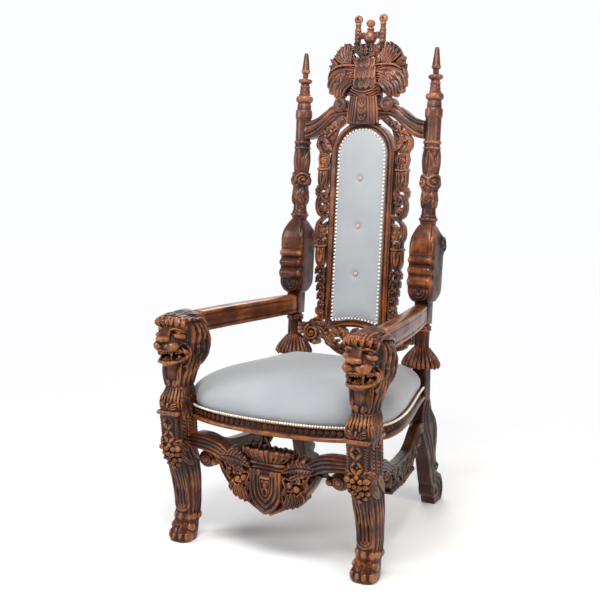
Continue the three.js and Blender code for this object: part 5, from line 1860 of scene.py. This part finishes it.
def breast(s):
    zs = np.linspace(1434, 1672, 14)
    wide, tall = body_at(zs)
    s.strip([(0, z) for z in zs], 2 * wide, tall, 0, lambda t, q: np.clip(1 - np.abs(q) ** 3, 0, 1) ** 0.45)
    for side in (1, -1):
        for k in range(4):
            x = 24 + 10.5 * k
            s.strip([(side * (x + 5), 1438), (side * (x + 2), 1480), (side * x * 0.92, 1528)], [9, 9, 8], 6,
                    26 - 2.4 * k)
    s.strip([(0, 1436), (0, 1480), (0, 1524)], 36, 2.5, 28, flat)
    for k in range(3):
        z = 1444 + 24 * k
        for side in (1, -1):
            s.leaf([(0, z), (9 * side, z + 8), (15 * side, z + 20)], 11, 4, 30, 3, 3)
        s.disc((0, z + 12), 4, 4, 31)
    for side in (1, -1):
        s.leaf([(side * 34, 1440), (side * 54, 1446), (side * 76, 1456)], 22, 9, 14, 3, 5)
    for x in (-12, -4, 4, 12):
        s.strip([(x, 1532.5), (x + 0.1, 1532.5), (x, 1512)], [6, 5, 3], 4, 30)
    for k in range(4):
        z = 1524 + 9.5 * k
        line = [(62 - 5 * k, z + 14), (34, z + 3), (0, z - 5), (-34, z + 3), (-62 + 5 * k, z + 14)]
        s.strip(line, [4, 7, 8, 7, 4], 4.5, 22 + 0.4 * k)
    rows = [(1604, 1558, 4, 22), (1640, 1592, 5, 17), (1664, 1634, 4, 20)]
    for n, (top, tip, count, pitch) in enumerate(rows):
        for k in range(count):
            x = (k - (count - 1) / 2) * pitch
            front = body_at(tip)[1] * (1 - 0.00016 * x * x) + 1 + 1.5 * n
            line = [(x * 0.96, top), (x, 0.5 * (top + tip) + 4), (x, tip + 9), (x, tip)]
            s.strip(line, [pitch * 1.1, pitch * 1.12, pitch, 3], [0.5, 2.5, 5, 4], front, feather)


def bowl(s):
    s.strip([(-29, 1681), (0, 1674), (29, 1681)], [9, 13, 9], 14, 8)
    s.plate([(-27, 1678), (27, 1678), (38, 1692), (52, 1704), (54, 1718), (28, 1722), (0, 1727), (-28, 1722),
             (-54, 1718), (-52, 1704), (-38, 1692)], 10, ease=4)
    for x, tip in ((0, 1727), (21, 1724), (-21, 1724)):
        s.leaf([(x * 0.7, 1680), (x * 0.9, 1702), (x, tip)], 25, 10, 13 - 0.08 * abs(x), 3, 4)
    for side in (1, -1):
        s.leaf([(side * 12, 1682), (side * 34, 1696), (side * 60, 1717)], 24, 10, 12, 4, 5)
        s.leaf([(side * 26, 1706), (side * 40, 1714), (side * 52, 1728)], 18, 9, 10, 3, 4)


def crest_sheet():
    s = Relief(0, 158, 1430, 1732, 1.0)
    wing(s)
    bird = s.mirrored()
    breast(bird)
    bowl(bird)
    return bird


STAVE = [
    [0, 1700], [9, 1700], [9.5, 1728], [11.5, 1732], [12.5, 1738], [11, 1743], [12.5, 1748], [12.5, 1752],
    [11, 1757], [12.5, 1762],
    [12.5, 1767], [11, 1771], [12.5, 1776], [12, 1781], [9.5, 1784], [9.5, 1794], [11.5, 1797], [11.5, 1801],
    [9, 1804], [0, 1805],
]
FINIAL = [
    [0, 1716], [10, 1720], [14, 1727], [22, 1738], [24.5, 1750], [22, 1762], [15, 1772], [11, 1776],
    [14, 1779], [14, 1783], [11, 1786], [0, 1787],
]


def crest_rounds(block):
    both = Pair(block)
    both.add(moved(turned(STAVE), 50, -1), 0.5)
    both.add(ball((50, -1, 1817), (17, 10.5, 16)), 1)
    for y in (-14, 12):
        both.cut(ball((50, y, 1817), (5, 8, 5)), 1)
    both.add(slab((31, -1, 1757), (20, 6, 12), 3), 1)
    for x in (26, 32, 38):
        both.add(rope([(x, -7, 1746), (x, -8, 1757), (x, -7, 1768)], [2, 2.6, 2]), 0.8)
    both.add(rope([(30, 2, 1700), (44, 0, 1704), (50, -1, 1712)], [9, 10, 9]), 2)
    grooves = []
    for k in range(6):
        grooves.append([(52 - 2 * k, 1640 - 14 * k), (98 - 6 * k, 1636 - 18 * k),
                        (138 - 7 * k, 1606 - 13 * k)])
        grooves.append([(58 + 4 * k, 1652), (64 + 9 * k, 1680 - k), (66 + 13 * k, 1708 - 5 * k)])
    for x in (12, 36):
        grooves.append([(x, 1452), (x, 1540), (x * 0.6, 1660)])
    for line in grooves:
        both.cut(rope([(x, BACK + 0.5, z) for x, z in line], [1.4, 2.4, 1.4]), 1)
    block.add(turned(FINIAL), 0.5)
    block.add(ball((0, -1, 1801), (17, 16, 15)), 1)
    for z in (1796, 1804):
        block.cut(rope([(-17, -8, z), (0, -18, z + 2), (17, -8, z)], [1.6, 1.6, 1.6]), 0.8)
    block.cut(slab((0, 16, 1466), (133, 44.3, 31), 1))
    block.cut((lambda x, y, z: np.hypot(x - 94 * np.sign(x), z - 1503) - 28 + 0 * y, [-123, -42, 1474],
               [123, 26, 1532]))


crest = pierced("crest_carving", crest_sheet(), -16, BACK, 105000, lean, crest_rounds, step=1.45, above=106)
settle(crest, "eagle_crest", carved_wood)

# %% [markdown]
# ## Stretchers
# Under the seat, broad fluted bands spring from the legs and fall to the middle, with leaves and
# stems pierced below them. At the front they carry a ribbed shield under a cornice and a flared,
# leafy basket. The same ribbons run from front to back at the sides, without the shield.

# %% The bands and foliage of the front stretcher
FRONT_Y = -358


def stretcher_front_sheet():
    s = Relief(0, 318, 150, 402, 1.1)
    s.plate([(30, 318), (130, 330), (168, 318), (166, 286), (150, 262), (126, 234), (98, 206), (60, 200),
             (30, 180)], -2)
    for x, z, r in ((67, 284, 8), (131, 281, 9), (129, 271, 8), (86, 244, 7), (145, 252, 6), (46, 208, 5)):
        s.disc((x, z), r, 0, join="hole")
    s.strip([(190, 322), (178, 308), (167, 288), (149, 263), (129, 240), (104, 214), (80, 204)],
            [9, 12, 15, 16, 17, 17, 12], 10, -1, dished)
    s.strip([(78, 206), (46, 188), (12, 168)], [18, 18, 14], 9, -2)
    s.strip([(57, 300), (54, 262), (58, 226), (66, 206)], [13, 12, 13, 12], 10, 1, fluted(1, 0.35))
    band = [(318, 372), (276, 372), (222, 367), (188, 357), (162, 342), (138, 334)]
    s.strip(band, [46, 50, 56, 56, 50, 40], 13, -2, fluted(3, 0.38))
    s.leaf([(172, 342), (128, 342), (94, 334), (62, 318)], 66, 15, 1, 6, 10)
    s.leaf([(150, 322), (118, 312), (92, 300), (76, 298)], 30, 11, 3, 4, 6)
    s.strip([(156, 318), (148, 300), (152, 284), (140, 266)], [14, 12, 10, 7], 9, 2)
    s.disc((86, 276), 13, 11, 2).disc((110, 267), 13, 11, 2)
    s.leaf([(126, 306), (116, 294), (104, 286)], 18, 9, 4, 3, 4).leaf([(132, 262), (122, 248), (104, 246)],
        20, 9, 3, 4, 4)
    s.leaf([(76, 262), (72, 246), (76, 228)], 18, 9, 3, 3, 4)
    for foot, tip in (((104, 250), (98, 202)), ((92, 250), (80, 198)), ((118, 246), (116, 210)),
                      ((80, 244), (64, 200)), ((130, 256), (134, 228))):
        middle = (0.5 * (foot[0] + tip[0]) + 5, 0.5 * (foot[1] + tip[1]))
        s.strip([foot, middle, tip], [9, 17, 17, 6], 11, 3, fluted(1, 0.4))
    s.leaf([(60, 240), (70, 258), (92, 258)], 22, 10, 4, 3, 3).leaf([(152, 296), (144, 288), (148, 272)], 18,
        9, 4, 3, 3)
    s.strip([(70, 300), (64, 290), (74, 264), (62, 250)], [6, 9, 9, 6], 9, 4)
    for x, z in ((98, 290), (122, 291), (74, 268), (98, 262), (140, 300)):
        s.disc((x, z), 7, 9, 4)
    return s.mirrored()


# %% The scrolls that end the bands, beside the legs
def end_scrolls(block):
    both = Pair(block)
    both.add(ball((250, 16, 307), (34, 22, 30)), 2)
    both.add(rope([(172, -2, 296), (184, 0, 314), (202, 4, 322), (216, 8, 314)], [5, 6.5, 7, 7]), 1)
    both.add(ball((217, 8, 303), (14, 16, 14)), 1)
    for x, z in ((180, 320), (189, 327), (199, 331), (209, 329)):
        both.add(ball((x, 0, z), (5.6, 8, 5.6)), 0.5)
    turn = np.radians(np.linspace(80, -300, 13))
    curl = [(217 + 8.5 * math.cos(a), -7, 303 + 8.5 * math.sin(a)) for a in turn]
    both.cut(rope(curl, [1.6, 1.6, 1.2], 26), 0.8)
    for r in (12, 21):
        line = [(250 + r * math.cos(a), 1 - 6 * (r < 20), 307 + 0.9 * r * math.sin(a)) for a in turn]
        both.trace(line, [1.8, 2.2, 1.8], 0, 0.8, True, 26)
    for a in np.radians(range(0, 360, 30)):
        line = [(250 + r * math.cos(a), -2, 307 + 0.9 * r * math.sin(a)) for r in (22, 27, 32)]
        both.trace(line, [1.4, 1.8, 1.2], 0, 0.8, True, 5)


# %% The shield and its basket
def shield_and_basket(block):
    top, tip, half = 314, 166, 57
    sheet = Relief(-62, 62, 160, 320, 1.0)
    sheet.plate(shield_shape(0, top, half, top - tip), 14)
    block_part = plate_block(sheet, -15, 22, block.step)
    i = np.round((block_part.lo - block.lo) / block.step).astype(int)
    low = np.maximum(i, 0)
    high = np.minimum(i + block_part.field.shape, block.field.shape)
    here = tuple(slice(a, b) for a, b in zip(low, high))
    there = tuple(slice(a - c, b - c) for a, b, c in zip(low, high, i))
    block.field[here] = np.minimum(block.field[here], block_part.field[there])
    for share, tall in ((0.94, 0.96), (0.70, 0.84), (0.47, 0.70)):
        outline = shield_shape(0, top - 2, half * share, (top - tip) * tall - 6, 9)
        outline = np.vstack([outline[0], 0.5 * (outline[0] + outline[1]), outline[1:-1],
                             0.5 * (outline[-1] + outline[-2]), outline[-1]])
        block.add(rope([(x, -29.5, z) for x, z in outline], np.full(len(outline), 4.6), 44), 1)
    for x in (-46.5, 46.5):
        block.add(rope([(x, -30, 309), (x, -30, 276), (x * 0.97, -29, 238)], [2.4, 2.4, 1.4]), 1)
    inner = [(x, -31, z) for x, z in shield_shape(0, 296, 17, 66, 8)]
    block.add(rope(inner + inner[:1], np.full(len(inner) + 1, 2.4), 40), 1)
    block.add(slab((0, -32, 292), (19, 5, 4), 2), 0.5)
    block.add(ball((0, -30, 268), (9, 6, 17)), 2)
    both = Pair(block)
    both.add(rope([(3, -33, 276), (9, -34, 283), (13, -32, 274)], [2.6, 3.4, 1.6]), 1)
    both.add(rope([(2, -33, 258), (8, -34, 252), (6, -32, 242)], [2.6, 3.4, 1.6]), 1)
    for x in (22, 32):
        both.add(rope([(x, -30, 309), (x, -31, 303), (x, -30, 297)], [3.4, 4, 1.6]), 1)
    y = 3.5
    rings = [
        [312, 0, y, 59, 20, 6], [317, 0, y, 63, 24, 6], [321, 0, y, 63, 24, 6], [322, 0, y, 60, 21, 6],
        [327, 0, y, 61, 22, 6], [332, 0, y, 66, 26, 6], [338, 0, y, 67, 27, 6], [340, 0, y, 62, 23, 6],
        [343, 0, y, 62, 21, 5], [352, 0, y, 72, 23, 3.4], [362, 0, y, 86, 26, 3], [370, 0, y, 97, 28, 2.8],
    ]
    block.add(column(rings), 0.5)
    block.cut(ball((0, y, 381), (85, 22, 26)), 2)
    t = np.linspace(0, 2 * math.pi, 81)[:-1]
    c, s = np.cos(t), np.sin(t)
    rim = np.column_stack([94 * np.copysign(np.abs(c) ** 0.8, c), 28 * np.copysign(np.abs(s) ** 0.6, s),
                           0 * t])
    petals = spaced(rim, 19)
    for n, (at, out) in enumerate(zip(petals, outward(petals))):
        x, d = at[0], at[1]
        tall = 370 + 3 * (n % 2)
        block.add(rope([(x * 0.66, y + d * 0.76, 344), (x * 0.82, y + d * 0.88, 354), (x * 0.97, y + d, 366)],
                       [5, 7, 9]), 1)
        block.add(ball((x + 2 * out[0], y + d + 2 * out[1], tall), (11.5, 6.5, 11),
                       turn=math.degrees(math.atan2(out[1], out[0])) + 90), 1)
        foot, head = np.array((x * 0.74, y + d * 0.8, 348)) + out * 6, np.array((x, y + d,
            tall + 6)) + out * 9
        block.cut(rope([foot, 0.5 * (foot + head) + out * 3, head], [1.2, 2, 1.6]), 0.8)
        if n % 2:
            block.cut(ball((x * 0.86 + 5 * out[1], y + d * 0.95 - 5 * out[0], 357), (4, 6, 5)), 1)


def carve_front():
    """The whole front stretcher. The front legs pass through its ends, so its board stops at them."""
    block = plate_block(stretcher_front_sheet(), -15, 22, 1.6, 24, 12, 3)
    end_scrolls(block)
    shield_and_basket(block)
    Pair(block).cut(grown(moved(column(LEG), LEG_X, -FRONT_Y), 0.4))
    points, faces = skin(block)
    return points + (0, FRONT_Y, 0), faces


stretcher = to_mesh("front_stretcher_carving", *carve_front(), thin=88000)
settle(stretcher, "front_stretcher", carved_wood)


# %% The side stretchers
def stretcher_side_half():
    s = Relief(0, 306, 198, 372, 1.1)
    s.strip([(196, 300), (172, 284), (140, 250), (100, 232), (50, 226), (0, 220)], [9, 12, 15, 17, 19, 22], 7,
            -2, dished)
    s.strip([(307, 338), (250, 346), (212, 344), (176, 328), (140, 308), (80, 292), (0, 288)],
            [30, 36, 40, 40, 38, 30, 30], 9, -2, fluted(3, 0.38))
    s.disc((206, 308), 20, 7, -2).scroll((206, 308), 17, 1.3, 120, 9, 5, 4, 1)
    s.strip([(158, 312), (146, 286), (132, 252)], [9, 12, 10], 6, 0)
    s.strip([(92, 298), (76, 262), (76, 232)], [12, 14, 12], 6, 0)
    for a, b, c in (
        ((140, 300), (120, 290), (104, 274)), ((124, 296), (108, 276), (98, 256)),
        ((150, 286), (164, 274), (160, 258)), ((98, 268), (110, 252), (122, 246)),
        ((84, 262), (66, 250), (60, 236)), ((60, 292), (44, 276), (38, 254)),
        ((70, 280), (58, 268), (40, 270)), ((34, 266), (22, 250), (20, 232)),
        ((0, 292), (0, 262), (0, 230)), ((22, 284), (14, 270), (18, 254)),
        ((188, 292), (176, 300), (164, 300)),
    ):
        s.leaf([a, b, c], 20, 8, 3, 4, 4)
    for x in range(8, 130, 17):
        s.leaf([(x, 236), (x + 6, 226), (x + 3, 212 + 0.11 * x)], 18, 7, 3, 3, 3)
    return s.mirrored()


# %% Its place between the front leg and the rear leg
SIDE_FRONT, SIDE_BACK = np.array((345.0, -324.0)), np.array((268.0, 285.0))


def from_side(x, y):
    """Level places in the throne's frame, from places along and across a side stretcher."""
    c, s = (SIDE_BACK - SIDE_FRONT) / np.linalg.norm(SIDE_BACK - SIDE_FRONT)
    middle = (SIDE_FRONT + SIDE_BACK) / 2
    return middle[0] + c * x - s * y, middle[1] + s * x + c * y


def timber(shape, off):
    """A leg's outline as the side stretcher meets it, with its middle at off across the throne."""

    def inside(x, y, z):
        across, aft = from_side(x, y)
        return shape[0](across - off, aft, z + 0 * across) - 0.4

    return inside


def carve_side():
    block = plate_block(stretcher_side_half(), -15, 18, 1.7)
    block.cut((timber(column(LEG), LEG_X), [-330, -40, 190], [-230, 40, 390]))
    rear_leg = sawn(rear_leg_outline(), lambda z: np.full(np.shape(z), 27.4), 4)
    block.cut((timber(rear_leg, POST_X), [210, -40, 190], [330, 40, 390]))
    points, faces = skin(block)
    return np.column_stack([*from_side(points[:, 0], points[:, 1]), points[:, 2]]), faces


side_points, side_faces = carve_side()
for side, hand in HANDS:
    stretcher = to_mesh("side_stretcher_carving_" + hand, side_points, side_faces, 0, side, 44000)
    settle(stretcher, "side_stretcher_" + hand, carved_wood)

# %% [markdown]
# ## Camera, light and floor
# The camera stands to the right of the throne, a little above the seat. Broad soft lights and a pale
# sky give the polish long highlights, as daylight does, and the floor is a plain pale sheet.

# %% The camera
CAMERA_PLACE = (1.6172, -3.0933, 1.3509)
CAMERA_TURN, CAMERA_RISE = math.radians(28.81), math.radians(8.77)
camera = bpy.data.objects.new("camera", bpy.data.cameras.new("camera"))
bpy.context.scene.collection.objects.link(camera)
camera.location = CAMERA_PLACE
level_part = math.cos(CAMERA_RISE)
backward = Vector((math.sin(CAMERA_TURN) * level_part, -math.cos(CAMERA_TURN) * level_part,
                   math.sin(CAMERA_RISE)))
camera.rotation_euler = backward.to_track_quat("Z", "Y").to_euler()
camera.data.sensor_width, camera.data.lens = 36.0, 60.785
bpy.context.scene.camera = camera


# %% Lights
def soft_light(name, place, target, width, height, power, tint):
    light = bpy.data.lights.new(name, "AREA")
    light.shape, light.size, light.size_y, light.energy = "RECTANGLE", width, height, power
    light.color = colour(tint)[:3]
    lamp = bpy.data.objects.new(name, light)
    bpy.context.scene.collection.objects.link(lamp)
    lamp.location = place
    lamp.rotation_euler = (Vector(place) - Vector(target)).to_track_quat("Z", "Y").to_euler()
    return lamp


soft_light("overhead", (0.5, -1.5, 3.0), (0, 0, 1.2), 1.5, 1.2, 78, "fffdfa")
soft_light("window", (-2.6, -2.2, 2.0), (0, 0, 0.9), 0.9, 1.8, 60, "f8faff")
soft_light("side", (2.8, -0.8, 1.6), (0, 0, 0.8), 0.8, 1.8, 34, "fff4e6")
soft_light("behind", (-1.2, 2.6, 2.8), (0, 0, 1.2), 1.6, 1.2, 40, "fffdfa")


# %% The sky
BEHIND = (-0.48, 0.87, 0.0)


def aft_of(tree, place):
    """How far a direction or a place lies behind the throne, as the camera sees it."""
    return add(tree, "ShaderNodeVectorMath", {1: BEHIND}, {0: place},
               operation="DOT_PRODUCT").outputs["Value"]


def pale_sky():
    """Bright overhead, white behind the throne, and dimmer round the rest of the room."""
    sky = bpy.data.worlds.new("sky")
    sky.use_nodes = True
    tree = sky.node_tree
    way = add(tree, "ShaderNodeTexCoord").outputs["Generated"]
    parts = add(tree, "ShaderNodeSeparateXYZ", None, {0: way})
    rear = ranged(tree, aft_of(tree, way), 0.35, 0.8, 0.1)
    level = maths(tree, "MAXIMUM", rear, ranged(tree, parts.outputs["Z"], 0.35, 0.85, 0.0, 0.6))
    ground = tree.nodes["Background"]
    ground.inputs["Color"].default_value = colour("fcfdff")
    tree.links.new(level, ground.inputs["Strength"])
    return sky


bpy.context.scene.world = pale_sky()
bpy.context.scene.view_settings.view_transform = "Standard"


# %% Floor
def studio_paper():
    """White paper. It is lit like the sky a few metres out, so that no horizon shows."""
    look = {"Emission_Color": colour("fdfdff"), "Roughness": 0.95, "Specular_IOR_Level": 0.1}
    material, tree, shader, place = new_finish("studio_paper", **look)
    noise = add(tree, "ShaderNodeTexNoise", {"Scale": 3.0}, {"Vector": place}).outputs["Fac"]
    paper = ramp(tree, noise, (0.3, "f4f4f4"), (0.7, "fafafa"))
    away = add(tree, "ShaderNodeVectorMath", None, {0: place}, operation="LENGTH").outputs["Value"]
    seen = ranged(tree, aft_of(tree, place), -1.5, -0.6, kind="SMOOTHSTEP")
    glow = maths(tree, "MULTIPLY", ranged(tree, away, 0.5, 2.2, 0.0, 0.96, "SMOOTHSTEP"), seen)
    tree.links.new(mixed(tree, glow, paper, "000000"), shader.inputs["Base Color"])
    tree.links.new(glow, shader.inputs["Emission Strength"])
    return material


floor_mesh = bpy.data.meshes.new("floor")
floor_mesh.from_pydata([(-9, -9, 0), (9, -9, 0), (9, 9, 0), (-9, 9, 0)], [], [(0, 1, 2, 3)])
floor = bpy.data.objects.new("floor", floor_mesh)
bpy.context.scene.collection.objects.link(floor)
floor_mesh.materials.append(studio_paper())
